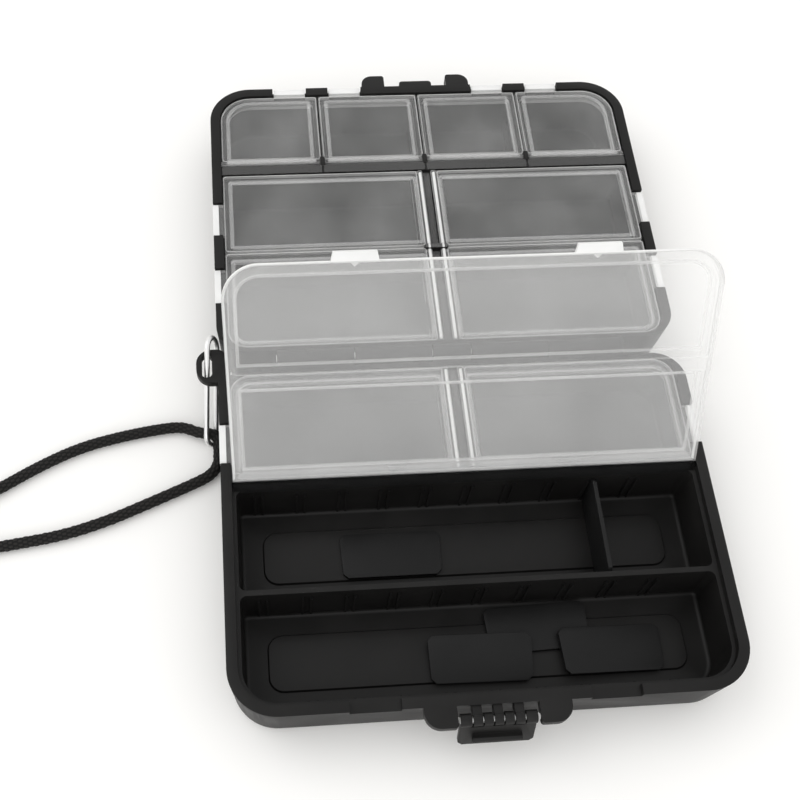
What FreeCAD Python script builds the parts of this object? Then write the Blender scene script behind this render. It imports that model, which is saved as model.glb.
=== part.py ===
import FreeCAD, Part
import math
import os
from FreeCAD import Vector

# Pocket tackle box, laid open flat: millimetres, X along the hinge, +Z up.
# Every piece is worked out from the hinge line (y = 0), then moved so that the
# origin is the centre of the front tray's flat underside.

# Outer shell of each half
BOX_WIDTH = 120.0
HALF_DEPTH = 92.0
HALF_HEIGHT = 17.0
FAR_CORNER = 11.5
HINGE_CORNER = 8.0
WALL_DRAFT = 1.0
FOOT_ROUND = 3.0
FLOOR = 1.8
RIM_WALL = 2.6
HINGE_RIM = 1.2
SIDE_LEDGE = 0.9
HINGE_LEDGE = 1.0
LEDGE_DROP = 1.9
WALL = 1.3

# Compartment rows: their walls move with the depth of a half
MIDDLE_WALL_SHARE = 0.3717
RAIL_SHARE = 0.6772
RAIL_WIDTH = 3.0
RAIL_RISE = 1.5
BASE_WALL_BEFORE_RAIL = 0.15
PANEL_AXIS_SHARE = 0.3761
PANEL_WALL_AFTER_AXIS = 1.3
PANEL_WALL_BEFORE_AXIS = 2.8
POCKET_DRAFT = 0.4
POCKET_CORNER = 1.6
POCKET_ROUND = 1.1
CORE_SLOT = 1.0
PAD_INSET = 5.5
PAD_RISE = 0.6
PAD_CORNER = 4.0
PAD_CORNER_SHARE = 0.35
SMALL_SPLIT_SHARE = 0.2417

# Shell hinge between the halves
CLOSING_GAP = 0.3
HINGE_GAP = 2.6
KNUCKLE_RADIUS = 2.1
KNUCKLE_EDGES = (-45.0, -25.0, -5.0, 5.0, 25.0, 45.0)
KNUCKLE_PLAY = 0.3
PIN_RADIUS = 0.9
PIN_PLAY = 0.05

# Small compartment lids
LID_THICKNESS = 1.2
LID_SEAT_GAP = 0.1
LID_EDGE_GAP = 0.3
LID_SPLIT_GAP = 0.5
LID_AXIS_DROP = 1.1
LID_AXIS_X = 1.9
LID_AXIS_AFTER_RAIL = 1.4
LID_BARREL = 0.75
STUB_RADIUS = 0.55
STUB_END_GAP = 0.2
BOSS_REACH = 3.1
BOSS_DROP = 0.2
SKIRT_DEPTH = 1.0
SKIRT_WIDTH = 0.8
SKIRT_INSET = 0.8
SKIRT_FROM_AXIS = 1.8
TAB_PROUD = 0.1
TAB_PLAY = 0.35
MIDDLE_TAB_AFTER_WALL = (6.0, 16.4)
HINGE_TAB_BEFORE_WALL = (16.0, 5.5)
SMALL_TAB_FROM_SPLIT = (3.5, 12.5)

# Clear cover panel over the two open rows of the front tray
PANEL_THICKNESS = 1.2
PANEL_BARREL = 1.1
PANEL_STUB = 0.7
PANEL_STUB_LENGTH = 1.4
PANEL_LEAN_ANGLE = 126.0
PANEL_TAB_SHARE = 0.1817
PANEL_TAB_WIDTH = 11.0
PANEL_TAB_LENGTH = 2.2
PANEL_TAB_TAPER = 0.6
PANEL_CHANNEL_DROP = 0.4

# Latch and its guards on the far edges
LATCH_OFFSET = 2.9
LATCH_AXIS_DROP = 1.8
LATCH_HALF_WIDTH = 8.7
LATCH_KNUCKLE = 1.5
LATCH_PLATE = 1.3
LATCH_PLATE_INNER = 0.8
LATCH_LENGTH = 8.5
LATCH_TIP_TAPER = 0.9
LATCH_PIN_RADIUS = 0.75
LATCH_OPEN_ANGLE = 160.0
BOX_KNUCKLES = ((-5.8, -3.7), (-1.0, 1.0), (3.7, 5.8))
LATCH_INNER_KNUCKLE = (1.3, 3.4)
LATCH_OUTER_KNUCKLE = 6.1
HOOK_HEIGHT = 1.6
HOOK_REACH = 1.7
HOOK_PLAY = 0.3
CATCH_HALF_WIDTH = 4.7
CATCH_REACH = 1.8
CATCH_HEIGHT = 2.0
LID_GUARD = (9.1, 15.7)
LID_GUARD_REACH = 4.1
LID_GUARD_THICKNESS = 2.6
LID_GUARD_CORNER = 3.0
BASE_GUARD = (9.3, 16.7)
BASE_GUARD_REACH = 4.9
BASE_GUARD_THICKNESS = 2.2
BASE_GUARD_CORNER = 3.8

# Dividers and the ribs that hold them
DIVIDER_THICKNESS = 1.0
DIVIDER_PLAY = 0.2
DIVIDER_TOP_DROP = 3.0
DIVIDER_CHAMFER = 1.2
FITTED_DIVIDER_FROM_END = 24.5
SLOT_PITCH = 10.4
SLOT_END_MARGIN = 5.0
RIB_WIDTH = 0.6
RIB_REACH = 0.8
RIB_TOP_DROP = 4.5
LOOSE_LIFT = 0.05

# Spare dividers: from the row's right end and from its back wall to their middle
SPARE_MIDDLE = (75.5, 13.7)
SPARE_UNDER = (41.9, 7.8)
SPARE_FRONT_LEFT = (56.5, 14.8)
SPARE_FRONT_RIGHT = (24.7, 14.4)
SPARE_UNDER_TURN = 2.0
SPARE_LEFT_TURN = -1.0
SPARE_RIGHT_TURN = 0.5
SPARE_LEFT_LAP = 6.2
SPARE_RIGHT_LAP = 16.5

# Lanyard: lug on the front tray, wire link and braided cord
LUG_REACH = 5.5
LUG_HALF_LENGTH = 4.9
LUG_CORNER = 4.0
LUG_TOP_DROP = 2.0
LUG_THICKNESS = 2.0
LUG_SLOT_RADIUS = 1.3
LUG_BAR = 1.4
LUG_SLOT_HALF = 3.4
LINK_WIRE = 1.4
LINK_WIDTH = 5.6
LINK_BACK = 8.0
LINK_SLOPE = 30.0
LINK_ROLL = 21.0
LINK_YAW = 4.0
FLOOR_PLAY = 0.05
CORD_DIAMETER = 2.8
CORD_LOW = 1.45

# The cord's route: out along the near strand, round the bight, back along the
# far strand, through the link and round to where it began
CORD_ROUTE = [
    (-72.76, -28.89, CORD_LOW),
    (-79.19, -31.66, CORD_LOW),
    (-89.0, -35.8, CORD_LOW),
    (-100.0, -39.2, CORD_LOW),
    (-112.0, -41.0, CORD_LOW),
    (-124.5, -42.7, CORD_LOW),
    (-137.0, -46.4, CORD_LOW),
    (-150.0, -51.2, CORD_LOW),
    (-163.0, -55.4, CORD_LOW),
    (-176.0, -57.4, CORD_LOW),
    (-187.0, -53.8, CORD_LOW),
    (-192.5, -45.0, CORD_LOW),
    (-188.5, -35.6, CORD_LOW),
    (-178.0, -31.2, CORD_LOW),
    (-165.0, -31.8, CORD_LOW),
    (-151.5, -34.4, CORD_LOW),
    (-138.5, -34.6, CORD_LOW),
    (-127.0, -31.2, CORD_LOW),
    (-116.5, -25.4, CORD_LOW),
    (-106.5, -19.4, CORD_LOW),
    (-96.5, -14.7, CORD_LOW),
    (-86.5, -12.1, CORD_LOW),
    (-77.0, -10.4, CORD_LOW),
    (-70.2, -9.8, 1.5),
    (-65.84, -12.52, 2.36),
    (-60.97, -13.81, 4.0),
    (-60.95, -18.0, 2.05),
    (-61.1, -21.4, CORD_LOW),
    (-63.2, -24.5, CORD_LOW),
    (-67.8, -26.75, CORD_LOW),
    (-72.67, -28.85, CORD_LOW),
]

# Levels and lines that several pieces share
HALF_WIDTH = BOX_WIDTH / 2
MIDDLE_WALL_Y = round(HALF_DEPTH * MIDDLE_WALL_SHARE, 1)
RAIL_Y = round(HALF_DEPTH * RAIL_SHARE, 1)
BASE_WALL_Y = RAIL_Y - BASE_WALL_BEFORE_RAIL
PANEL_AXIS_Y = round(HALF_DEPTH * PANEL_AXIS_SHARE, 1)
PANEL_WALL_FRONT = PANEL_AXIS_Y + PANEL_WALL_AFTER_AXIS
PANEL_WALL_BACK = PANEL_AXIS_Y - PANEL_WALL_BEFORE_AXIS
SMALL_SPLIT = round(BOX_WIDTH * SMALL_SPLIT_SHARE, 1)
SMALL_SPLITS = (-SMALL_SPLIT, 0.0, SMALL_SPLIT)
TAB_NEAR, TAB_END = SMALL_TAB_FROM_SPLIT
SMALL_TABS = [(x - TAB_END, x - TAB_NEAR) for x in (-SMALL_SPLIT, SMALL_SPLIT)]
SMALL_TABS += [(x + TAB_NEAR, x + TAB_END) for x in (-SMALL_SPLIT, SMALL_SPLIT)]
SMALL_TABS.sort()
MIDDLE_TAB = tuple(MIDDLE_WALL_Y + distance for distance in MIDDLE_TAB_AFTER_WALL)
HINGE_TAB = tuple(MIDDLE_WALL_Y - distance for distance in HINGE_TAB_BEFORE_WALL)
PANEL_TAB_X = round(BOX_WIDTH * PANEL_TAB_SHARE, 1)
PANEL_TAB = (PANEL_TAB_X, PANEL_TAB_X + PANEL_TAB_WIDTH)
LEDGE_Z = HALF_HEIGHT - LEDGE_DROP
RIM_X = HALF_WIDTH - RIM_WALL
RIM_FAR_Y = HALF_DEPTH - RIM_WALL
RIM_NEAR_Y = HINGE_GAP + HINGE_RIM
POCKET_X = RIM_X - SIDE_LEDGE
POCKET_FAR_Y = RIM_FAR_Y - SIDE_LEDGE
POCKET_NEAR_Y = RIM_NEAR_Y + HINGE_LEDGE
HINGE_Z = HALF_HEIGHT + CLOSING_GAP / 2
LID_Z = LEDGE_Z + LID_SEAT_GAP
LID_TOP_Z = LID_Z + LID_THICKNESS
LID_AXIS_Z = HALF_HEIGHT - LID_AXIS_DROP
BOSS_TOP_Z = HALF_HEIGHT - BOSS_DROP
RAIL_NEAR_Y = RAIL_Y - RAIL_WIDTH / 2
RAIL_FAR_Y = RAIL_Y + RAIL_WIDTH / 2
SMALL_AXIS_Y = RAIL_FAR_Y + LID_AXIS_AFTER_RAIL
MIDDLE_WALL_NEAR = MIDDLE_WALL_Y - WALL / 2
MIDDLE_WALL_FAR = MIDDLE_WALL_Y + WALL / 2
BASE_WALL_NEAR = BASE_WALL_Y - WALL / 2
BASE_WALL_FAR = BASE_WALL_Y + WALL / 2
PANEL_RAIL_Y = PANEL_AXIS_Y - PANEL_BARREL - LID_EDGE_GAP
PANEL_CHANNEL_Z = LID_AXIS_Z - PANEL_BARREL - PANEL_CHANNEL_DROP
LATCH_Y = HALF_DEPTH + LATCH_OFFSET
LATCH_Z = HALF_HEIGHT - LATCH_AXIS_DROP
LATCH_KNUCKLES = [LATCH_INNER_KNUCKLE, (LATCH_OUTER_KNUCKLE, LATCH_HALF_WIDTH)]
LATCH_KNUCKLES += [(-x1, -x0) for x0, x1 in LATCH_KNUCKLES]
DIVIDER_BOTTOM = FLOOR + PAD_RISE + LOOSE_LIFT
DIVIDER_HEIGHT = HALF_HEIGHT - DIVIDER_TOP_DROP - DIVIDER_BOTTOM
DIVIDER_LENGTH = BASE_WALL_NEAR - PANEL_WALL_FRONT - 2 * DIVIDER_PLAY
FITTED_DIVIDER_X = POCKET_X - FITTED_DIVIDER_FROM_END
UNDERSIDE_CENTRE_Y = -(HALF_DEPTH + HINGE_GAP) / 2
ALONG_X = Vector(1, 0, 0)
ALONG_Y = Vector(0, 1, 0)
UPWARD = Vector(0, 0, 1)
HALF_TURN = 180.0


def slab(x0, x1, y0, y1, z0, z1):
    """Plain rectangular block between two corners."""
    return Part.makeBox(x1 - x0, y1 - y0, z1 - z0, Vector(x0, y0, z0))


def rod(start, direction, length, radius):
    """Round bar from a start point along a direction."""
    return Part.makeCylinder(radius, length, start, direction)


def outline(box, z, radii):
    """Closed wire round a rectangle, with its own radius at each corner."""
    x0, x1, y0, y1 = box
    corners = [(x0, y0, 1, 1), (x1, y0, -1, 1), (x1, y1, -1, -1), (x0, y1, 1, -1)]
    arcs = []
    for turn, ((cx, cy, sx, sy), radius) in enumerate(zip(corners, radii)):
        centre = Vector(cx + sx * radius, cy + sy * radius, z)
        spots = []
        for step in (0, 45, 90):
            angle = math.radians(180 + 90 * turn + step)
            spots.append(centre + Vector(math.cos(angle), math.sin(angle), 0) * radius)
        arcs.append(spots)
    edges = []
    for turn, spots in enumerate(arcs):
        edges.append(Part.Arc(*spots).toShape())
        edges.append(Part.makeLine(spots[2], arcs[(turn + 1) % 4][0]))
    return Part.Wire(edges)


def inset(box, distance):
    """The same rectangle drawn in on every side."""
    x0, x1, y0, y1 = box
    return (x0 + distance, x1 - distance, y0 + distance, y1 - distance)


def shrink(radii, distance):
    """Corner radii that stay parallel when a rectangle is drawn in."""
    return [max(radius - distance, 0.3) for radius in radii]


def drafted_block(box, z0, z1, radii, draft):
    """Block with rounded corners that narrows towards its lower or upper end."""
    lower_inset = max(draft, 0)
    upper_inset = max(-draft, 0)
    lower = outline(inset(box, lower_inset), z0, shrink(radii, lower_inset))
    upper = outline(inset(box, upper_inset), z1, shrink(radii, upper_inset))
    return Part.makeLoft([lower, upper], True, True)


def prism(box, z0, z1, radii):
    """Straight block with rounded corners."""
    return Part.Face(outline(box, z0, radii)).extrude(Vector(0, 0, z1 - z0))


def round_foot(shape, z, radius):
    """Round the edges of a block that lie at one level."""
    edges = [e for e in shape.Edges if all(abs(v.Z - z) < 1e-6 for v in e.Vertexes)]
    return shape.makeFillet(radius, edges)


def fuse(pieces):
    """One clean solid from pieces that overlap or touch."""
    whole = pieces[0].fuse(pieces[1:]) if len(pieces) > 1 else pieces[0]
    return whole.removeSplitter()


def to_front(shape):
    """Mirror a piece from the back half to the front half."""
    return shape.mirror(Vector(0, 0, 0), ALONG_Y)


def to_left(shape):
    """Mirror a piece from the right side to the left side."""
    return shape.mirror(Vector(0, 0, 0), ALONG_X)


def tray_blank():
    """Outer shell of one half with its lid recess, still solid below the ledge."""
    box = (-HALF_WIDTH, HALF_WIDTH, HINGE_GAP, HALF_DEPTH)
    radii = (HINGE_CORNER, HINGE_CORNER, FAR_CORNER, FAR_CORNER)
    body = round_foot(drafted_block(box, 0, HALF_HEIGHT, radii, WALL_DRAFT), 0, FOOT_ROUND)
    recess_box = (-RIM_X, RIM_X, RIM_NEAR_Y, RIM_FAR_Y)
    near = HINGE_CORNER - RIM_WALL
    far = FAR_CORNER - RIM_WALL
    recess = prism(recess_box, LEDGE_Z, HALF_HEIGHT + 1, (near, near, far, far))
    return body.cut(recess)


def pocket(x0, x1, y0, y1, corners=None, pad=True):
    """Cutting tool for one compartment: drafted, round-bottomed, with a raised floor."""
    radii = [POCKET_CORNER] * 4
    for index, radius in (corners or {}).items():
        radii[index] = radius
    box = (x0, x1, y0, y1)
    tool = drafted_block(box, FLOOR, LEDGE_Z + 0.5, radii, POCKET_DRAFT)
    tool = round_foot(tool, FLOOR, POCKET_ROUND)
    if pad:
        pad_box = inset(box, PAD_INSET)
        short_side = min(pad_box[1] - pad_box[0], pad_box[3] - pad_box[2])
        pad_radii = [min(PAD_CORNER, PAD_CORNER_SHARE * short_side)] * 4
        raised = drafted_block(pad_box, FLOOR - 0.5, FLOOR + PAD_RISE, pad_radii, -PAD_RISE)
        tool = tool.cut(raised)
    return tool


def core_slot(y_centre):
    """Slot under a thick wall that keeps its two skins thin."""
    reach = POCKET_X - FAR_CORNER
    return slab(-reach, reach, y_centre - CORE_SLOT / 2, y_centre + CORE_SLOT / 2, -1, LEDGE_Z - 2 * FLOOR)


def knuckle(x0, x1):
    """One barrel of the shell hinge with the web that carries it."""
    barrel = rod(Vector(x0, 0, HINGE_Z), ALONG_X, x1 - x0, KNUCKLE_RADIUS)
    web = slab(x0, x1, 0, HINGE_GAP + HINGE_RIM / 2, HINGE_Z - KNUCKLE_RADIUS, HALF_HEIGHT)
    return barrel.fuse(web)


def knuckles(first):
    """Every second barrel of the shell hinge, starting with the first or second."""
    spans = list(zip(KNUCKLE_EDGES[:-1], KNUCKLE_EDGES[1:]))[first::2]
    play = KNUCKLE_PLAY / 2
    return [knuckle(x0 + play, x1 - play) for x0, x1 in spans]


def hinge_bore():
    """Bore through the shell hinge for its pin."""
    length = KNUCKLE_EDGES[-1] - KNUCKLE_EDGES[0] + 2
    return rod(Vector(-length / 2, 0, HINGE_Z), ALONG_X, length, PIN_RADIUS + PIN_PLAY)


def tab_notch_side(span):
    """Notches in both side rims for the tabs of a pair of lids."""
    right = slab(RIM_X - 0.5, HALF_WIDTH + 1, span[0] - TAB_PLAY, span[1] + TAB_PLAY, LEDGE_Z, HALF_HEIGHT + 1)
    return [right, to_left(right)]


def tab_notch_far(span):
    """Notch in the far rim for one tab."""
    return slab(span[0] - TAB_PLAY, span[1] + TAB_PLAY, RIM_FAR_Y - 0.5, HALF_DEPTH + 1, LEDGE_Z, HALF_HEIGHT + 1)


def stub_bores_along_y(y0, y1):
    """Sockets for the stub pins of a pair of lids hinged beside the centre wall."""
    radius = STUB_RADIUS + PIN_PLAY
    start = Vector(LID_AXIS_X, y0, LID_AXIS_Z)
    right = rod(start, ALONG_Y, y1 - y0, radius)
    return [right, to_left(right)]


def centre_boss(y0, y1):
    """Post on a cross wall that holds the stub pins of the lids beside it."""
    return prism((-BOSS_REACH, BOSS_REACH, y0, y1), LEDGE_Z - 1, BOSS_TOP_Z, [0.4] * 4)


def guard(span, reach, thickness, corner):
    """Pair of flat guards that stand out beside the latch."""
    box = (span[0], span[1], HALF_DEPTH - RIM_WALL / 2, HALF_DEPTH + reach)
    right = prism(box, HALF_HEIGHT - thickness, HALF_HEIGHT, (0.4, 0.4, corner, 0.8))
    return [right, to_left(right)]


def lid_tray():
    """Back half: eight lidded compartments in three rows."""
    body = tray_blank()
    far = FAR_CORNER - RIM_WALL - SIDE_LEDGE
    near = HINGE_CORNER - RIM_WALL
    half = WALL / 2
    edges = [-POCKET_X] + list(SMALL_SPLITS) + [POCKET_X]
    tools = []
    for index in range(len(edges) - 1):
        x0 = edges[index] + (half if index > 0 else 0)
        x1 = edges[index + 1] - (half if index < len(edges) - 2 else 0)
        corners = {}
        if index == 0:
            corners[3] = far
        if index == len(edges) - 2:
            corners[2] = far
        tools.append(pocket(x0, x1, RAIL_FAR_Y, POCKET_FAR_Y, corners, pad=False))
    rows = ((MIDDLE_WALL_FAR, RAIL_NEAR_Y, POCKET_CORNER), (POCKET_NEAR_Y, MIDDLE_WALL_NEAR, near))
    for y0, y1, corner in rows:
        tools.append(pocket(-POCKET_X, -half, y0, y1, {0: corner}, pad=False))
        tools.append(pocket(half, POCKET_X, y0, y1, {1: corner}, pad=False))
    tools.append(core_slot(RAIL_Y))
    body = body.cut(tools)
    rail = slab(-RIM_X - 0.2, RIM_X + 0.2, RAIL_NEAR_Y, RAIL_FAR_Y, LEDGE_Z - 1, LEDGE_Z + RAIL_RISE)
    posts = [centre_boss(MIDDLE_WALL_NEAR, MIDDLE_WALL_FAR)]
    for x in SMALL_SPLITS:
        box = (x - half, x + half, RAIL_FAR_Y - 0.5, SMALL_AXIS_Y + 1.2)
        posts.append(prism(box, LEDGE_Z - 1, BOSS_TOP_Z, [0.3] * 4))
    catch_box = (-CATCH_HALF_WIDTH, CATCH_HALF_WIDTH, RIM_FAR_Y + 1, HALF_DEPTH + CATCH_REACH)
    catch = prism(catch_box, HALF_HEIGHT - CATCH_HEIGHT, HALF_HEIGHT, (0.3, 0.3, 0.9, 0.9))
    guards = guard(LID_GUARD, LID_GUARD_REACH, LID_GUARD_THICKNESS, LID_GUARD_CORNER)
    body = fuse([body, rail, catch] + posts + guards + knuckles(1))
    cuts = [hinge_bore()]
    cuts += tab_notch_side(MIDDLE_TAB) + tab_notch_side(HINGE_TAB)
    cuts += [tab_notch_far(span) for span in SMALL_TABS]
    cuts += stub_bores_along_y(RIM_NEAR_Y - 0.8, RIM_NEAR_Y + 0.5)
    cuts += stub_bores_along_y(MIDDLE_WALL_NEAR - 1, MIDDLE_WALL_FAR + 1)
    cuts += stub_bores_along_y(RAIL_NEAR_Y - 0.5, RAIL_NEAR_Y + 1.1)
    bore_reach = RIM_X + 1.0
    cuts.append(rod(Vector(-bore_reach, SMALL_AXIS_Y, LID_AXIS_Z), ALONG_X, 2 * bore_reach, STUB_RADIUS + PIN_PLAY))
    return body.cut(cuts)


def rib_pair(x, y, toward):
    """Two short ribs on a wall that hold one end of a divider."""
    ribs = []
    inner = DIVIDER_THICKNESS / 2 + DIVIDER_PLAY
    y0, y1 = sorted((y - 0.4 * toward, y + RIB_REACH * toward))
    for side in (-1, 1):
        x0 = x + side * (inner + RIB_WIDTH / 2) - RIB_WIDTH / 2
        ribs.append(slab(x0, x0 + RIB_WIDTH, y0, y1, FLOOR - 0.3, HALF_HEIGHT - RIB_TOP_DROP))
    return ribs


def divider_ribs():
    """Ribs on the walls of the two open rows, at every place a divider may stand."""
    ribs = []
    x = FITTED_DIVIDER_X + SLOT_PITCH
    while x > SLOT_END_MARGIN - POCKET_X:
        ribs += rib_pair(x, PANEL_WALL_FRONT, 1)
        ribs += rib_pair(x, BASE_WALL_NEAR, -1)
        ribs += rib_pair(x, BASE_WALL_FAR, 1)
        if abs(x) < POCKET_X - FAR_CORNER:
            ribs += rib_pair(x, POCKET_FAR_Y, -1)
        x -= SLOT_PITCH
    return ribs


def lanyard_lug():
    """Flat lug with a slot, standing out of the side wall at the hinge corner."""
    top = HALF_HEIGHT - LUG_TOP_DROP
    outer = -HALF_WIDTH - LUG_REACH
    inner = -HALF_WIDTH + RIM_WALL
    box = (outer, inner, -LUG_HALF_LENGTH, LUG_HALF_LENGTH)
    plate = prism(box, top - LUG_THICKNESS, top, (LUG_CORNER, 3.0, 0.5, LUG_CORNER))
    root = slab(-HALF_WIDTH, inner + 0.5, 0.5, HINGE_CORNER, top - LUG_THICKNESS, top)
    return plate.fuse(root)


def lug_slot():
    """Slot through the lug, long enough for the slanting wire of the link."""
    centre = lug_slot_centre()
    radius = LUG_SLOT_RADIUS
    box = (centre.x - radius, centre.x + radius, -LUG_SLOT_HALF, LUG_SLOT_HALF)
    return prism(box, centre.z - LUG_THICKNESS, centre.z + LUG_THICKNESS, [radius * 0.98] * 4)


def lug_slot_centre():
    """Middle of the lug's slot at half its thickness."""
    x = -HALF_WIDTH - LUG_REACH + LUG_SLOT_RADIUS + LUG_BAR
    return Vector(x, 0, HALF_HEIGHT - LUG_TOP_DROP - LUG_THICKNESS / 2)


def latch_mount():
    """Three arms with barrels that carry the latch pin."""
    pieces = []
    for x0, x1 in BOX_KNUCKLES:
        arm = slab(x0, x1, HALF_DEPTH - 1, LATCH_Y, LATCH_Z - LATCH_KNUCKLE + 0.2, LATCH_Z + LATCH_KNUCKLE - 0.3)
        barrel = rod(Vector(x0, LATCH_Y, LATCH_Z), ALONG_X, x1 - x0, LATCH_KNUCKLE)
        pieces += [arm, barrel]
    return pieces


def latch_bore():
    """Bore through the latch hinge for its pin."""
    reach = LATCH_HALF_WIDTH + 1
    return rod(Vector(-reach, LATCH_Y, LATCH_Z), ALONG_X, 2 * reach, LATCH_PIN_RADIUS + PIN_PLAY)


def base_tray():
    """Front half: one lidded row and two open rows under the cover panel."""
    body = tray_blank()
    far = FAR_CORNER - RIM_WALL - SIDE_LEDGE
    near = HINGE_CORNER - RIM_WALL
    half = WALL / 2
    tools = [
        pocket(-POCKET_X, -half, POCKET_NEAR_Y, PANEL_WALL_BACK, {0: near}, pad=False),
        pocket(half, POCKET_X, POCKET_NEAR_Y, PANEL_WALL_BACK, {1: near}, pad=False),
        pocket(-POCKET_X, POCKET_X, PANEL_WALL_FRONT, BASE_WALL_NEAR),
        pocket(-POCKET_X, POCKET_X, BASE_WALL_FAR, POCKET_FAR_Y, {2: far, 3: far}),
        core_slot((PANEL_WALL_FRONT + PANEL_WALL_BACK) / 2),
    ]
    body = body.cut(tools)
    channel = slab(-RIM_X, RIM_X, PANEL_RAIL_Y, PANEL_WALL_FRONT + 0.1, PANEL_CHANNEL_Z, HALF_HEIGHT + 1)
    body = body.cut(channel)
    boss = centre_boss(PANEL_WALL_BACK, PANEL_RAIL_Y - 0.3)
    guards = guard(BASE_GUARD, BASE_GUARD_REACH, BASE_GUARD_THICKNESS, BASE_GUARD_CORNER)
    pieces = [body, boss, lanyard_lug()] + guards + latch_mount() + divider_ribs() + knuckles(0)
    body = fuse(pieces)
    cuts = [hinge_bore(), latch_bore(), lug_slot()]
    cuts += tab_notch_side(HINGE_TAB)
    cuts += [tab_notch_far(PANEL_TAB), to_left(tab_notch_far(PANEL_TAB))]
    cuts += stub_bores_along_y(RIM_NEAR_Y - 0.8, RIM_NEAR_Y + 0.5)
    cuts += stub_bores_along_y(PANEL_WALL_BACK - 1, PANEL_RAIL_Y)
    panel_bore = RIM_X + PANEL_STUB_LENGTH + 0.2
    bore_start = Vector(-panel_bore, PANEL_AXIS_Y, LID_AXIS_Z)
    cuts.append(rod(bore_start, ALONG_X, 2 * panel_bore, PANEL_STUB + PIN_PLAY))
    return to_front(body.cut(cuts))


def skirt(box, radii):
    """Low rib frame under a lid or panel that centres it in its compartment."""
    outer = prism(box, LID_Z - SKIRT_DEPTH, LID_Z + 0.1, radii)
    inner = prism(inset(box, SKIRT_WIDTH), LID_Z - SKIRT_DEPTH - 1, LID_Z, shrink(radii, SKIRT_WIDTH))
    return outer.cut(inner)


def side_lid(plate_y, barrel_y, stub_y, pocket_y, tab, near_corner):
    """Lid of a wide compartment on the right, hinged beside the centre wall."""
    edge_x = RIM_X - LID_EDGE_GAP
    plate_box = (LID_AXIS_X, edge_x, plate_y[0], plate_y[1])
    plate = prism(plate_box, LID_Z, LID_TOP_Z, (0.3, near_corner, 0.5, 0.3))
    notch_x = BOSS_REACH + LID_EDGE_GAP
    for low, high in ((plate_y[0] - 1, barrel_y[0]), (barrel_y[1], plate_y[1] + 1)):
        plate = plate.cut(slab(0, notch_x, low, high, LID_Z - 1, LID_TOP_Z + 1))
    barrel = rod(Vector(LID_AXIS_X, barrel_y[0], LID_AXIS_Z), ALONG_Y, barrel_y[1] - barrel_y[0], LID_BARREL)
    stubs = rod(Vector(LID_AXIS_X, stub_y[0], LID_AXIS_Z), ALONG_Y, stub_y[1] - stub_y[0], STUB_RADIUS)
    tab_plate = slab(edge_x - 0.5, HALF_WIDTH + TAB_PROUD, tab[0], tab[1], LID_Z, LID_TOP_Z)
    x0 = LID_AXIS_X + SKIRT_FROM_AXIS
    skirt_box = (x0, POCKET_X - SKIRT_INSET, pocket_y[0] + SKIRT_INSET, pocket_y[1] - SKIRT_INSET)
    frame = skirt(skirt_box, (1.0, max(near_corner - SKIRT_INSET, 1.0), 1.0, 1.0))
    return fuse([plate, barrel, stubs, tab_plate, frame])


def middle_lid():
    """Lid of the middle row on the right."""
    wall_gap = LID_EDGE_GAP
    plate = (MIDDLE_WALL_Y + LID_SPLIT_GAP / 2, RAIL_NEAR_Y - wall_gap)
    barrel = (MIDDLE_WALL_FAR + wall_gap, RAIL_NEAR_Y - wall_gap)
    stub = (MIDDLE_WALL_Y + STUB_END_GAP / 2, RAIL_NEAR_Y + 1.0)
    return side_lid(plate, barrel, stub, (MIDDLE_WALL_FAR, RAIL_NEAR_Y), MIDDLE_TAB, 0.5)


def hinge_row_lid(pocket_end, boss_end, plate_end, stub_end):
    """Lid of the row beside the shell hinge on the right."""
    wall_gap = LID_EDGE_GAP
    plate = (RIM_NEAR_Y + wall_gap, plate_end)
    barrel = (RIM_NEAR_Y + wall_gap, boss_end - wall_gap)
    stub = (RIM_NEAR_Y - 0.7, stub_end)
    corner = HINGE_CORNER - RIM_WALL - LID_EDGE_GAP
    return side_lid(plate, barrel, stub, (POCKET_NEAR_Y, pocket_end), HINGE_TAB, corner)


def back_hinge_lid():
    """Lid of the back half's row beside the shell hinge, on the right."""
    plate_end = MIDDLE_WALL_Y - LID_SPLIT_GAP / 2
    stub_end = MIDDLE_WALL_Y - STUB_END_GAP / 2
    return hinge_row_lid(MIDDLE_WALL_NEAR, MIDDLE_WALL_NEAR, plate_end, stub_end)


def base_lid():
    """Lid of the front half's row beside the shell hinge, on the right."""
    stub_end = PANEL_RAIL_Y - 0.4
    return to_front(hinge_row_lid(PANEL_WALL_BACK, PANEL_WALL_BACK, PANEL_WALL_BACK + LID_SPLIT_GAP / 2, stub_end))


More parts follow.
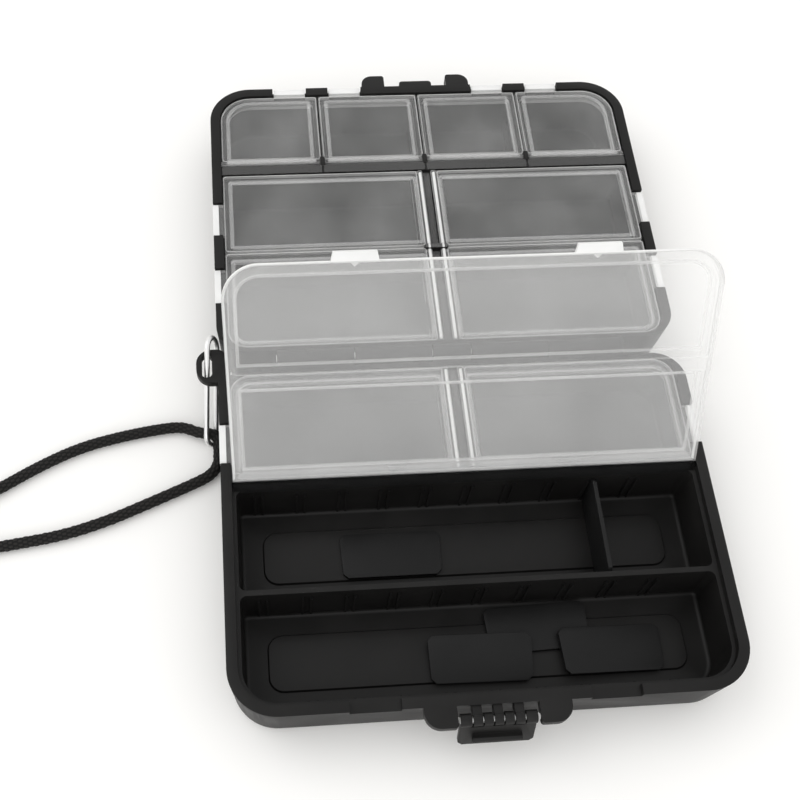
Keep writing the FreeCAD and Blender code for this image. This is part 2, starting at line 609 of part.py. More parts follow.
def small_lid(index):
    """Lid of one small compartment of the far row, hinged at the rail."""
    edges = [-RIM_X] + list(SMALL_SPLITS) + [RIM_X]
    last = len(edges) - 2
    half = WALL / 2
    split = LID_SPLIT_GAP / 2
    x0, x1 = edges[index], edges[index + 1]
    plate_x = (x0 + (split if index > 0 else LID_EDGE_GAP), x1 - (split if index < last else LID_EDGE_GAP))
    barrel_x = (x0 + LID_EDGE_GAP + (half if index > 0 else 0), x1 - LID_EDGE_GAP - (half if index < last else 0))
    stub_x = (x0 + (STUB_END_GAP / 2 if index > 0 else -0.8), x1 - (STUB_END_GAP / 2 if index < last else -0.8))
    far = FAR_CORNER - RIM_WALL - LID_EDGE_GAP
    left_corner = far if index == 0 else 0.4
    right_corner = far if index == last else 0.4
    edge_y = RIM_FAR_Y - LID_EDGE_GAP
    plate_box = (plate_x[0], plate_x[1], SMALL_AXIS_Y, edge_y)
    plate = prism(plate_box, LID_Z, LID_TOP_Z, (0.3, 0.3, right_corner, left_corner))
    notch_y = SMALL_AXIS_Y + 1.2 + LID_EDGE_GAP
    for low, high in ((plate_x[0] - 1, barrel_x[0]), (barrel_x[1], plate_x[1] + 1)):
        plate = plate.cut(slab(low, high, SMALL_AXIS_Y - 1, notch_y, LID_Z - 1, LID_TOP_Z + 1))
    start = Vector(barrel_x[0], SMALL_AXIS_Y, LID_AXIS_Z)
    barrel = rod(start, ALONG_X, barrel_x[1] - barrel_x[0], LID_BARREL)
    stub_start = Vector(stub_x[0], SMALL_AXIS_Y, LID_AXIS_Z)
    stubs = rod(stub_start, ALONG_X, stub_x[1] - stub_x[0], STUB_RADIUS)
    tab = SMALL_TABS[index]
    tab_plate = slab(tab[0], tab[1], edge_y - 0.5, HALF_DEPTH + TAB_PROUD, LID_Z, LID_TOP_Z)
    skirt_x0 = max(x0 + half, -POCKET_X) + SKIRT_INSET
    skirt_x1 = min(x1 - half, POCKET_X) - SKIRT_INSET
    skirt_box = (skirt_x0, skirt_x1, SMALL_AXIS_Y + SKIRT_FROM_AXIS, POCKET_FAR_Y - SKIRT_INSET)
    skirt_far = FAR_CORNER - RIM_WALL - SIDE_LEDGE - SKIRT_INSET
    radii = (1.0, 1.0, skirt_far if index == last else 1.0, skirt_far if index == 0 else 1.0)
    return fuse([plate, barrel, stubs, tab_plate, skirt(skirt_box, radii)])


def panel_tab():
    """Finger tab on the panel's free edge, on the right, a little narrower at its tip."""
    y0 = RIM_FAR_Y - LID_EDGE_GAP - 0.5
    y1 = RIM_FAR_Y - LID_EDGE_GAP + PANEL_TAB_LENGTH
    x0, x1 = PANEL_TAB
    taper = PANEL_TAB_TAPER
    corners = [(x0, y0), (x1, y0), (x1 - taper, y1), (x0 + taper, y1)]
    points = [Vector(x, y, LID_Z) for x, y in corners]
    face = Part.Face(Part.makePolygon(points + [points[0]]))
    return face.extrude(Vector(0, 0, PANEL_THICKNESS))


def cover_panel():
    """Clear panel over the two open rows, turned back to where it leans when open."""
    edge_x = RIM_X - LID_EDGE_GAP
    edge_y = RIM_FAR_Y - LID_EDGE_GAP
    far = FAR_CORNER - RIM_WALL - LID_EDGE_GAP
    plate_box = (-edge_x, edge_x, PANEL_AXIS_Y, edge_y)
    plate = prism(plate_box, LID_Z, LID_Z + PANEL_THICKNESS, (0.3, 0.3, far, far))
    barrel = rod(Vector(-edge_x, PANEL_AXIS_Y, LID_AXIS_Z), ALONG_X, 2 * edge_x, PANEL_BARREL)
    stub_reach = RIM_X + PANEL_STUB_LENGTH - 0.1
    stubs = rod(Vector(-stub_reach, PANEL_AXIS_Y, LID_AXIS_Z), ALONG_X, 2 * stub_reach, PANEL_STUB)
    frame_x = POCKET_X - SKIRT_INSET
    near_box = (-frame_x, frame_x, PANEL_WALL_FRONT + 1.0, BASE_WALL_NEAR - SKIRT_INSET)
    far_box = (-frame_x, frame_x, BASE_WALL_FAR + SKIRT_INSET, POCKET_FAR_Y - SKIRT_INSET)
    corner = FAR_CORNER - RIM_WALL - SIDE_LEDGE - SKIRT_INSET
    frames = [skirt(near_box, [1.0] * 4), skirt(far_box, (1.0, 1.0, corner, corner))]
    closed = fuse([plate, barrel, stubs, panel_tab(), to_left(panel_tab())] + frames)
    closed.rotate(Vector(0, PANEL_AXIS_Y, LID_AXIS_Z), ALONG_X, PANEL_LEAN_ANGLE)
    return to_front(closed)


def latch_outline(z0, z1):
    """Face of the latch plate, narrower at its free end."""
    wide = LATCH_HALF_WIDTH
    tip = wide - LATCH_TIP_TAPER
    round_z = z1 - LATCH_TIP_TAPER
    corners = [(-wide, z0), (wide, z0), (wide, round_z), (tip, z1), (-tip, z1), (-wide, round_z)]
    y = LATCH_Y - LATCH_PLATE_INNER
    points = [Vector(x, y, z) for x, z in corners]
    return Part.Face(Part.makePolygon(points + [points[0]]))


def front_latch():
    """Latch on the front tray, turned down to where it hangs open."""
    plate_start = LATCH_Z + LATCH_KNUCKLE + HOOK_PLAY
    plate_end = LATCH_Z + LATCH_LENGTH
    plate = latch_outline(plate_start, plate_end).extrude(Vector(0, LATCH_PLATE, 0))
    inner = LATCH_Y - LATCH_PLATE_INNER
    outer = inner + LATCH_PLATE
    catch_top = HALF_HEIGHT + CLOSING_GAP + CATCH_HEIGHT
    hook_z = catch_top + HOOK_PLAY
    hook_x = CATCH_HALF_WIDTH + 1.0
    hook = slab(-hook_x, hook_x, inner - HOOK_REACH, inner + 0.1, hook_z, hook_z + HOOK_HEIGHT)
    hook = hook.makeChamfer(0.5, [e for e in hook.Edges if e.BoundBox.YMax < inner - 0.5 and e.Length > 3])
    lip_x = LATCH_HALF_WIDTH - LATCH_TIP_TAPER
    lip = slab(-lip_x, lip_x, outer - 0.1, outer + 0.8, plate_end - 1.0, plate_end)
    pieces = [plate, hook, lip]
    for x0, x1 in LATCH_KNUCKLES:
        pieces.append(rod(Vector(x0, LATCH_Y, LATCH_Z), ALONG_X, x1 - x0, LATCH_KNUCKLE))
        pieces.append(slab(x0, x1, inner, outer, LATCH_Z, plate_start + 0.2))
    closed = fuse(pieces).cut(latch_bore())
    closed.rotate(Vector(0, LATCH_Y, LATCH_Z), ALONG_X, -LATCH_OPEN_ANGLE)
    return to_front(closed)


def divider():
    """Divider plate standing on edge at the origin, tapered and with its corners cut off."""
    top = DIVIDER_HEIGHT
    wide = DIVIDER_LENGTH / 2
    narrow = wide - POCKET_DRAFT
    cut = DIVIDER_CHAMFER
    right = [(narrow - cut, 0), (narrow, cut), (wide, top - cut), (wide - cut, top)]
    left = [(-y, z) for y, z in reversed(right)]
    points = [Vector(-DIVIDER_THICKNESS / 2, y, z) for y, z in right + left]
    return Part.Face(Part.makePolygon(points + [points[0]])).extrude(ALONG_X * DIVIDER_THICKNESS)


def fitted_divider():
    """Divider standing in the ribs of the first open row."""
    plate = divider()
    plate.translate(Vector(FITTED_DIVIDER_X, -(PANEL_WALL_FRONT + BASE_WALL_NEAR) / 2, DIVIDER_BOTTOM))
    return plate


def spare_divider(place, wall, turn, lift_back=0.0, lift_left=0.0):
    """Spare divider on the raised floor of an open row, resting on one below if tipped."""
    x = POCKET_X - place[0]
    y = -wall - place[1]
    plate = divider()
    plate.rotate(Vector(0, 0, 0), ALONG_Y, 90)
    plate.rotate(Vector(0, 0, 0), UPWARD, 90 + turn)
    plate.rotate(Vector(0, 0, 0), ALONG_X, lift_back)
    plate.rotate(Vector(0, 0, 0), ALONG_Y, lift_left)
    box = plate.BoundBox
    plate.translate(Vector(x - box.Center.x, y - box.Center.y, DIVIDER_BOTTOM - box.ZMin))
    return plate


def resting_angle(reach):
    """Tilt of a divider whose underside meets the top of another at a distance."""
    return math.degrees(math.asin((DIVIDER_THICKNESS + 2 * LOOSE_LIFT) / reach))


def link_frame():
    """Start point and the two directions of the plane that the wire link lies in."""
    slope = math.radians(LINK_SLOPE)
    roll = math.radians(LINK_ROLL)
    along = Vector(0, -math.cos(slope), -math.sin(slope))
    across = Vector(math.sin(roll), math.cos(roll) * math.sin(slope), -math.cos(roll) * math.cos(slope))
    yaw = FreeCAD.Rotation(UPWARD, -LINK_YAW)
    return lug_slot_centre() + Vector(0, -0.2, 0), yaw.multVec(along), yaw.multVec(across)


def link_front(start, along, across):
    """Distance to the link's front end at which its wire just rests on the ground."""
    radius = LINK_WIDTH / 2
    drop = radius * math.hypot(along.z, across.z)
    spare = start.z + across.z * radius - drop - LINK_WIRE / 2 - FLOOR_PLAY
    return spare / -along.z + radius


def lanyard_link():
    """Long wire link that passes through the lug's slot and rests on the ground."""
    start, along, across = link_frame()
    front = link_front(start, along, across)
    radius = LINK_WIDTH / 2

    def spot(distance, width):
        return start + along * distance + across * width

    u0, u1 = -LINK_BACK + radius, front - radius
    edges = [
        Part.makeLine(spot(u0, 0), spot(u1, 0)),
        Part.Arc(spot(u1, 0), spot(u1 + radius, radius), spot(u1, 2 * radius)).toShape(),
        Part.makeLine(spot(u1, 2 * radius), spot(u0, 2 * radius)),
        Part.Arc(spot(u0, 2 * radius), spot(u0 - radius, radius), spot(u0, 0)).toShape(),
    ]
    section = Part.Wire(Part.makeCircle(LINK_WIRE / 2, spot(u0, 0), along))
    return Part.Wire(edges).makePipeShell([section], True, False)


def cord_path(points):
    """Straight runs joined by tangent arcs, each as large as its two runs allow."""
    edges = []
    radii = []
    last = points[0]
    for before, corner, after in zip(points[:-2], points[1:-1], points[2:]):
        back = (before - corner).normalize()
        ahead = (after - corner).normalize()
        half_turn = (math.pi - back.getAngle(ahead)) / 2
        cut = 0.45 * min(corner.distanceToPoint(before), corner.distanceToPoint(after))
        radius = cut / math.tan(half_turn)
        radii.append(radius)
        entry = corner + back * cut
        leave = corner + ahead * cut
        inward = (back + ahead).normalize()
        depth = radius / math.cos(half_turn) - radius
        edges.append(Part.LineSegment(last, entry).toShape())
        edges.append(Part.Arc(entry, corner + inward * depth, leave).toShape())
        last = leave
    edges.append(Part.LineSegment(last, points[-1]).toShape())
    return Part.Wire(edges), radii


def lanyard_cord():
    """Braided cord: one long bight whose two ends meet beside the link."""
    points = [Vector(*point) for point in CORD_ROUTE]
    path, radii = cord_path(points)
    section = Part.Wire(Part.makeCircle(CORD_DIAMETER / 2, points[0], points[1] - points[0]))
    tube = path.makePipeShell([section], True, False)
    print("cord radii", [round(radius, 1) for radius in radii])
    ideal = math.pi * CORD_DIAMETER ** 2 / 4 * path.Length
    print("cord length", round(path.Length, 1), "volume over section x length", round(tube.Volume / ideal, 4))
    return tube


def pieces():
    """Every node of the box by name."""
    middle = middle_lid()
    back = back_hinge_lid()
    front = base_lid()
    pin_span = KNUCKLE_EDGES[-1] - KNUCKLE_EDGES[0]
    latch_pin_start = Vector(-LATCH_HALF_WIDTH, -LATCH_Y, LATCH_Z)
    parts = {
        "base_tray": base_tray(),
        "lid_tray": lid_tray(),
        "shell_hinge_pin": rod(Vector(-pin_span / 2, 0, HINGE_Z), ALONG_X, pin_span, PIN_RADIUS),
        "cover_panel": cover_panel(),
        "front_latch": front_latch(),
        "latch_pin": rod(latch_pin_start, ALONG_X, 2 * LATCH_HALF_WIDTH, LATCH_PIN_RADIUS),
        "middle_lid_right": middle,
        "middle_lid_left": to_left(middle),
        "hinge_lid_right": back,
        "hinge_lid_left": to_left(back),
        "base_lid_right": front,
        "base_lid_left": to_left(front),
        "fitted_divider": fitted_divider(),
        "spare_divider_middle": spare_divider(SPARE_MIDDLE, PANEL_WALL_FRONT, 0.0),
        "spare_divider_under": spare_divider(SPARE_UNDER, BASE_WALL_FAR, SPARE_UNDER_TURN),
        "spare_divider_front_left": spare_divider(
            SPARE_FRONT_LEFT, BASE_WALL_FAR, SPARE_LEFT_TURN, lift_back=resting_angle(SPARE_LEFT_LAP)),
        "spare_divider_front_right": spare_divider(
            SPARE_FRONT_RIGHT, BASE_WALL_FAR, SPARE_RIGHT_TURN, lift_left=resting_angle(SPARE_RIGHT_LAP)),
        "lanyard_link": lanyard_link(),
        "lanyard_cord": lanyard_cord(),
    }
    for index in range(len(SMALL_TABS)):
        parts["small_lid_%d" % (index + 1)] = small_lid(index)
    return parts


def main():
    """Build every piece, move it to the part's origin and write it."""
    os.makedirs("parts", exist_ok=True)
    for name, shape in pieces().items():
        shape.translate(Vector(0, -UNDERSIDE_CENTRE_Y, 0))
        solids = shape.Solids
        assert shape.isValid() and solids, name + " is not a valid solid"
        shape.exportStep("parts/" + name + ".step")
        box = shape.BoundBox
        span = [round(v, 2) for v in (box.XMin, box.XMax, box.YMin, box.YMax, box.ZMin, box.ZMax)]
        print(name, len(solids), "solid, volume", round(shape.Volume, 1), "box", span)


main()
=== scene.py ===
"""Looks of the pocket tackle box: finishes, softened pieces, wrist cord, light and camera."""

import logging
import math
from dataclasses import dataclass, field
from enum import Enum
from typing import Callable

import bmesh
import bpy
from mathutils import Euler, Matrix, Vector


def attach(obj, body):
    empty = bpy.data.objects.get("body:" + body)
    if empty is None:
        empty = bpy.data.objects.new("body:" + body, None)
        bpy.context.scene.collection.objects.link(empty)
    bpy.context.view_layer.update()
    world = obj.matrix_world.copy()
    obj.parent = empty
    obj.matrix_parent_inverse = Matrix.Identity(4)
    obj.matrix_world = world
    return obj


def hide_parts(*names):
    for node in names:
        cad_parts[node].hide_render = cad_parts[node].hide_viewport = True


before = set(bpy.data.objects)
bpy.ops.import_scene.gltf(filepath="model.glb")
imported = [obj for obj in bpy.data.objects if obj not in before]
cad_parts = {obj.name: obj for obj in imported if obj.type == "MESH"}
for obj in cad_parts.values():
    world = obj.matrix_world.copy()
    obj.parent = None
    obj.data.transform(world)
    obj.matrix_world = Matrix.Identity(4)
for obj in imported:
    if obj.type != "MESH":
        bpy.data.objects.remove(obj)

LOG = logging.getLogger("tackle_box")
MM = 0.001

# Millimetres that an added ring, light line or strip reaches into the piece under it.
SUNK = 0.02

# A face whose normal rises less than this stands on edge.
STEEP = 0.6

# Steps on a corner's arc, for a ring and for a small strip.
ARC_STEPS = 8
SMALL_ARC_STEPS = 3

# Sides of a thin bar, and its domed end as distance from the tip and width in shares of its radius.
BAR_SIDES = 14
BAR_DOME = ((0.0, 0.35), (0.3, 0.8), (1.0, 1.0))

# Roughness of every noise, and the part of its range that is stretched over what it drives.
NOISE_ROUGHNESS = 0.55
NOISE_LOW = 0.3
NOISE_HIGH = 0.7

Colour = tuple[float, float, float]
Box = tuple[float, float, float, float]
Zone = Callable[[Vector, Vector], int]


class Side(Enum):
    """Left or right of the box's centre line, as a sign along X."""

    LEFT = -1
    RIGHT = 1


def new_material(name: str) -> tuple[bpy.types.Material, bpy.types.ShaderNodeTree, bpy.types.Node]:
    """Start a node material.

    Args:
        name: the material's name.

    Returns:
        The material, its node tree and its Principled shader.
    """
    material = bpy.data.materials.new(name)
    material.use_nodes = True
    tree = material.node_tree
    return material, tree, tree.nodes["Principled BSDF"]


def add_node(tree: bpy.types.ShaderNodeTree, kind: str, **inputs: object) -> bpy.types.Node:
    """Add a shader node and set its sockets by name.

    Args:
        tree: the material's node tree.
        kind: the node's type name.
        inputs: socket values, with underscores for the spaces of their names.

    Returns:
        The new node.
    """
    node = tree.nodes.new(kind)
    set_inputs(node, **inputs)
    return node


def set_inputs(node: bpy.types.Node, **inputs: object) -> None:
    """Set a node's sockets by name.

    Args:
        node: the shader node.
        inputs: socket values, with underscores for the spaces of their names.
    """
    for key, value in inputs.items():
        node.inputs[key.replace("_", " ")].default_value = value


def object_noise(tree: bpy.types.ShaderNodeTree, scale: float, detail: float) -> bpy.types.Node:
    """Noise that is fixed to the piece.

    Args:
        tree: the material's node tree.
        scale: cells per metre.
        detail: octaves of finer noise.

    Returns:
        The noise node.
    """
    place = tree.nodes.new("ShaderNodeTexCoord")
    noise = add_node(tree, "ShaderNodeTexNoise", Scale=scale, Detail=detail, Roughness=NOISE_ROUGHNESS)
    tree.links.new(place.outputs["Object"], noise.inputs["Vector"])
    return noise


def add_bump(tree: bpy.types.ShaderNodeTree, shader: bpy.types.Node, height: bpy.types.NodeSocket,
             distance: float, strength: float) -> None:
    """Raise a shader's surface by a height socket.

    Args:
        tree: the material's node tree.
        shader: the shader to bump.
        height: the socket that holds the height, from 0 to 1.
        distance: height of the relief in metres.
        strength: share of the relief that shows.
    """
    bump = add_node(tree, "ShaderNodeBump", Strength=strength, Distance=distance)
    tree.links.new(height, bump.inputs["Height"])
    tree.links.new(bump.outputs["Normal"], shader.inputs["Normal"])


def spread(tree: bpy.types.ShaderNodeTree, source: bpy.types.NodeSocket, low: float,
           high: float) -> bpy.types.NodeSocket:
    """Map a noise socket to a range.

    Args:
        tree: the material's node tree.
        source: the socket to map.
        low: value at the noise's low end.
        high: value at the noise's high end.

    Returns:
        The mapped socket.
    """
    node = add_node(tree, "ShaderNodeMapRange", From_Min=NOISE_LOW, From_Max=NOISE_HIGH, To_Min=low,
                    To_Max=high)
    tree.links.new(source, node.inputs["Value"])
    return node.outputs["Result"]


def add_colours(tree: bpy.types.ShaderNodeTree, shader: bpy.types.Node, source: bpy.types.NodeSocket,
                colours: tuple[Colour, Colour], places: tuple[float, float] = (0.0, 1.0)) -> None:
    """Blend a shader's colour between two by a noise socket.

    Args:
        tree: the material's node tree.
        shader: the shader to colour.
        source: the socket that blends.
        colours: the first and the last colour.
        places: the noise's values at these colours.
    """
    ramp = tree.nodes.new("ShaderNodeValToRGB")
    for element, colour, place in zip(ramp.color_ramp.elements, colours, places):
        element.position = place
        element.color = (*colour, 1.0)
    tree.links.new(source, ramp.inputs["Fac"])
    tree.links.new(ramp.outputs["Color"], shader.inputs["Base Color"])


@dataclass(frozen=True)
class MouldedBlack:
    """Satin black moulded plastic with a fine spark-eroded grain and faint scuffs."""

    name: str = "moulded black plastic"
    colour: Colour = (0.0062, 0.0059, 0.0056)
    worn: Colour = (0.0115, 0.011, 0.0105)
    gloss: float = 0.22
    scuffs: float = 60.0
    scuff_places: tuple[float, float] = (0.35, 0.75)
    roughness: tuple[float, float] = (0.40, 0.52)
    grain: float = 4200.0
    relief: float = 0.00003
    grain_strength: float = 0.35

    def make(self) -> bpy.types.Material:
        """Build the material.

        Returns:
            The new material.
        """
        material, tree, shader = new_material(self.name)
        cloud = object_noise(tree, self.scuffs, detail=4.0).outputs["Fac"]
        add_colours(tree, shader, cloud, (self.colour, self.worn), self.scuff_places)
        tree.links.new(spread(tree, cloud, *self.roughness), shader.inputs["Roughness"])
        set_inputs(shader, Specular_IOR_Level=self.gloss)
        grain = object_noise(tree, self.grain, detail=2.0)
        add_bump(tree, shader, grain.outputs["Fac"], self.relief, self.grain_strength)
        return material


@dataclass(frozen=True)
class MilkyPlastic:
    """Translucent plastic: each face adds a veil, so edges and ribs look whiter than a plate."""

    name: str
    veil: float
    tint: Colour = (0.87, 0.87, 0.86)
    refraction: float = 1.49
    clouds: float = 45.0
    cloudy: float = 0.12
    roughness: float = 0.3
    uneven: float = 0.15
    grain: float = 900.0
    relief: float = 0.000006
    grain_strength: float = 0.15

    def make(self) -> bpy.types.Material:
        """Build the material.

        Returns:
            The new material.
        """
        material, tree, shader = new_material(self.name)
        set_inputs(shader, Base_Color=(*self.tint, 1.0), IOR=self.refraction)
        cloud = object_noise(tree, self.clouds, detail=3.0).outputs["Fac"]
        for socket, value, share in (("Alpha", self.veil, self.cloudy),
                                     ("Roughness", self.roughness, self.uneven)):
            tree.links.new(spread(tree, cloud, value * (1 - share), value * (1 + share)),
                           shader.inputs[socket])
        grain = object_noise(tree, self.grain, detail=2.0)
        add_bump(tree, shader, grain.outputs["Fac"], self.relief, self.grain_strength)
        return material


@dataclass(frozen=True)
class DrawnSteel:
    """Drawn steel wire with faint marks along it."""

    name: str = "drawn steel wire"
    colour: Colour = (0.86, 0.86, 0.85)
    marks: float = 1500.0
    roughness: tuple[float, float] = (0.3, 0.42)
    relief: float = 0.000004
    mark_strength: float = 0.12

    def make(self) -> bpy.types.Material:
        """Build the material.

        Returns:
            The new material.
        """
        material, tree, shader = new_material(self.name)
        set_inputs(shader, Base_Color=(*self.colour, 1.0), Metallic=1.0)
        marks = object_noise(tree, self.marks, detail=3.0).outputs["Fac"]
        tree.links.new(spread(tree, marks, *self.roughness), shader.inputs["Roughness"])
        add_bump(tree, shader, marks, self.relief, self.mark_strength)
        return material


@dataclass(frozen=True)
class BraidedYarn:
    """Black polyester yarn with a soft sheen."""

    name: str = "braided black yarn"
    colour: Colour = (0.006, 0.0055, 0.005)
    worn: Colour = (0.026, 0.0235, 0.021)
    roughness: float = 0.75
    gloss: float = 0.3
    sheen: float = 0.1
    sheen_roughness: float = 0.4
    fibres: float = 3500.0
    relief: float = 0.00008
    fibre_strength: float = 0.6

    def make(self) -> bpy.types.Material:
        """Build the material.

        Returns:
            The new material.
        """
        material, tree, shader = new_material(self.name)
        fibre = object_noise(tree, self.fibres, detail=3.0).outputs["Fac"]
        add_colours(tree, shader, fibre, (self.colour, self.worn))
        set_inputs(shader, Roughness=self.roughness, Specular_IOR_Level=self.gloss,
                   Sheen_Weight=self.sheen, Sheen_Roughness=self.sheen_roughness)
        add_bump(tree, shader, fibre, self.relief, self.fibre_strength)
        return material


@dataclass(frozen=True)
class StudioPaper:
    """Near-white paper under the box."""

    name: str = "studio paper"
    colour: Colour = (0.975, 0.967, 0.948)
    roughness: float = 0.9
    gloss: float = 0.1
    tooth: float = 400.0
    relief: float = 0.00002
    tooth_strength: float = 0.1

    def make(self) -> bpy.types.Material:
        """Build the material.

        Returns:
            The new material.
        """
        material, tree, shader = new_material(self.name)
        tooth = object_noise(tree, self.tooth, detail=2.0)
        set_inputs(shader, Base_Color=(*self.colour, 1.0), Roughness=self.roughness,
                   Specular_IOR_Level=self.gloss)
        add_bump(tree, shader, tooth.outputs["Fac"], self.relief, self.tooth_strength)
        return material


@dataclass(frozen=True)
class Finishes:
    """Every finish of the box, made once."""

    black: bpy.types.Material
    plate: bpy.types.Material
    # smooth: darker black with little gloss, painted shade on up-facing tops in the rows.
    smooth: bpy.types.Material
    lid: bpy.types.Material
    border: bpy.types.Material
    # foot: a whiter veil along the panel's foot, painted light.
    foot: bpy.types.Material
    bead: bpy.types.Material
    panel: bpy.types.Material
    edge: bpy.types.Material
    tab: bpy.types.Material
    strip: bpy.types.Material
    clear: bpy.types.Material
    steel: bpy.types.Material
    yarn: bpy.types.Material
    # Yarn darkened as painted shade in the gaps between the braid's strands.
    pit: bpy.types.Material

    @classmethod
    def mix(cls) -> "Finishes":
        """Make every material.

        Returns:
            The set of finishes.
        """
        pale, frosted = (0.92, 0.92, 0.91), (0.91, 0.91, 0.9)
        return cls(
            black=MouldedBlack().make(),
            plate=MouldedBlack("black divider plastic", colour=(0.0062, 0.0062, 0.0062),
                               worn=(0.0105, 0.0105, 0.0105), gloss=0.22).make(),
            # Painted shade: darker black with little gloss, for the rib tops and the panel's bearing.
            smooth=MouldedBlack("black plastic with painted shade", colour=(0.003, 0.003, 0.003),
                                worn=(0.004, 0.004, 0.004), gloss=0.06).make(),
            lid=MilkyPlastic("frosted lid plastic", veil=0.095, cloudy=0.3).make(),
            border=MilkyPlastic("clear panel border", veil=0.13, tint=pale).make(),
            # Painted light: a whiter veil along the panel's foot, where the dark tray below sends up little light.
            foot=MilkyPlastic("border along the panel's foot", veil=0.3, tint=(0.95, 0.95, 0.94)).make(),
            bead=MilkyPlastic("frosted lid bead", veil=0.25, tint=frosted, cloudy=0.05).make(),
            panel=MilkyPlastic("clear panel plastic", veil=0.168, tint=pale, cloudy=0.05,
                               roughness=0.2).make(),
            edge=MilkyPlastic("frosted plastic seen edge on", veil=0.34, tint=frosted).make(),
            tab=MilkyPlastic("thick frosted tab", veil=0.8, tint=frosted).make(),
            strip=MilkyPlastic("frosted strip on black", veil=0.068).make(),
            clear=MilkyPlastic("clear barrel of the panel", veil=0.002).make(),
            steel=DrawnSteel().make(),
            yarn=BraidedYarn().make(),
            # Painted shade: much darker yarn for the faces in the gaps between the strands.
            pit=BraidedYarn("yarn between the strands", colour=(0.0012, 0.0011, 0.001),
                            worn=(0.003, 0.0028, 0.0025), sheen=0.0).make(),
        )


def dress(obj: bpy.types.Object, *materials: bpy.types.Material) -> None:
    """Give an object its finishes in place of any that it has.

    Clearing the slots sets every face's number to 0, so a new mesh without slots isn't cleared.

    Args:
        obj: the object.
        materials: its materials in the order of their numbers.
    """
    slots = obj.data.materials
    if len(slots) > 0:
        slots.clear()
    for material in materials:
        slots.append(material)


def link_mesh(name: str, shape: bmesh.types.BMesh) -> bpy.types.Object:
    """Put a built mesh in the scene as a new object.

    Args:
        name: the object's name.
        shape: the mesh that was built; it is freed.

    Returns:
        The new object.
    """
    mesh = bpy.data.meshes.new(name)
    shape.to_mesh(mesh)
    shape.free()
    obj = bpy.data.objects.new(name, mesh)
    bpy.context.scene.collection.objects.link(obj)
    return obj


@dataclass(frozen=True)
class Rounding:
    """How a moulded piece's copy is cleaned and its edges are rounded, in metres and degrees."""

    weld: float = 2e-6
    flat_angle: float = 0.6
    cut_reach: float = 1e-7
    sharp_angle: float = 32.0
    steps: int = 2
    fullness: float = 0.6
    shade_angle: float = 28.0


def softened(node: str, name: str, width: float, materials: list[bpy.types.Material], body: str,
             zone: Zone | None = None, cuts: tuple[tuple[Vector, Vector], ...] = (),
             rounding: Rounding = Rounding()) -> bpy.types.Object:
    """Copy a moulded piece and round its edges a little, as a mould does.

    Args:
        node: the construction piece to stand for.
        name: the new piece's name.
        width: width of the rounded edge in metres.
        materials: the piece's finishes, the main one first.
        body: the moving body that it belongs to.
        zone: picks a finish's number from a face's middle and direction.
        cuts: point and direction of planes along which faces part, so that zones can differ.
        rounding: how the copy is cleaned and rounded.

    Returns:
        The rounded piece.
    """
    shape = bmesh.new()
    shape.from_mesh(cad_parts[node].data)
    bmesh.ops.remove_doubles(shape, verts=shape.verts, dist=rounding.weld)
    bmesh.ops.dissolve_limit(shape, angle_limit=math.radians(rounding.flat_angle), verts=shape.verts,
                             edges=shape.edges)
    for point, direction in cuts:
        everything = shape.verts[:] + shape.edges[:] + shape.faces[:]
        bmesh.ops.bisect_plane(shape, geom=everything, dist=rounding.cut_reach, plane_co=point,
                               plane_no=direction)
    least = math.radians(rounding.sharp_angle)
    sharp = [edge for edge in shape.edges
             if len(edge.link_faces) == 2 and edge.calc_face_angle(0.0) > least]
    bmesh.ops.bevel(shape, geom=sharp, offset=width, offset_type="OFFSET", segments=rounding.steps,
                    profile=rounding.fullness, affect="EDGES", clamp_overlap=True)
    obj = link_mesh(name, shape)
    dress(obj, *materials)
    for face in obj.data.polygons:
        face.use_smooth = True
        face.material_index = zone(face.center, face.normal) if zone else 0
    obj.data.set_sharp_from_angle(angle=math.radians(rounding.shade_angle))
    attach(obj, body)
    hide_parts(node)
    LOG.info("%s stands for %s with %d faces", name, node, len(obj.data.polygons))
    return obj


@dataclass
class PhotoCamera:
    """Camera at the photograph's viewpoint, fitted to the box's own outlines."""

    place: tuple[float, float, float] = (-0.048837, -0.102783, 0.254673)
    turn: tuple[float, float, float] = (25.0205, -2.248, -4.1012)
    lens: float = 49.144
    shift: tuple[float, float] = (0.0750, 0.1234)
    film: float = 36.0
    nearest: float = 0.01

    def make(self) -> bpy.types.Object:
        """Create the camera and make it the scene's camera.

        Returns:
            The camera.
        """
        data = bpy.data.cameras.new("photo_camera")
        data.lens = self.lens
        data.sensor_width = self.film
        data.shift_x, data.shift_y = self.shift
        data.clip_start = self.nearest
        camera = bpy.data.objects.new("photo_camera", data)
        camera.location = self.place
        camera.rotation_euler = Euler([math.radians(angle) for angle in self.turn])
        bpy.context.scene.collection.objects.link(camera)
        bpy.context.scene.camera = camera
        return camera


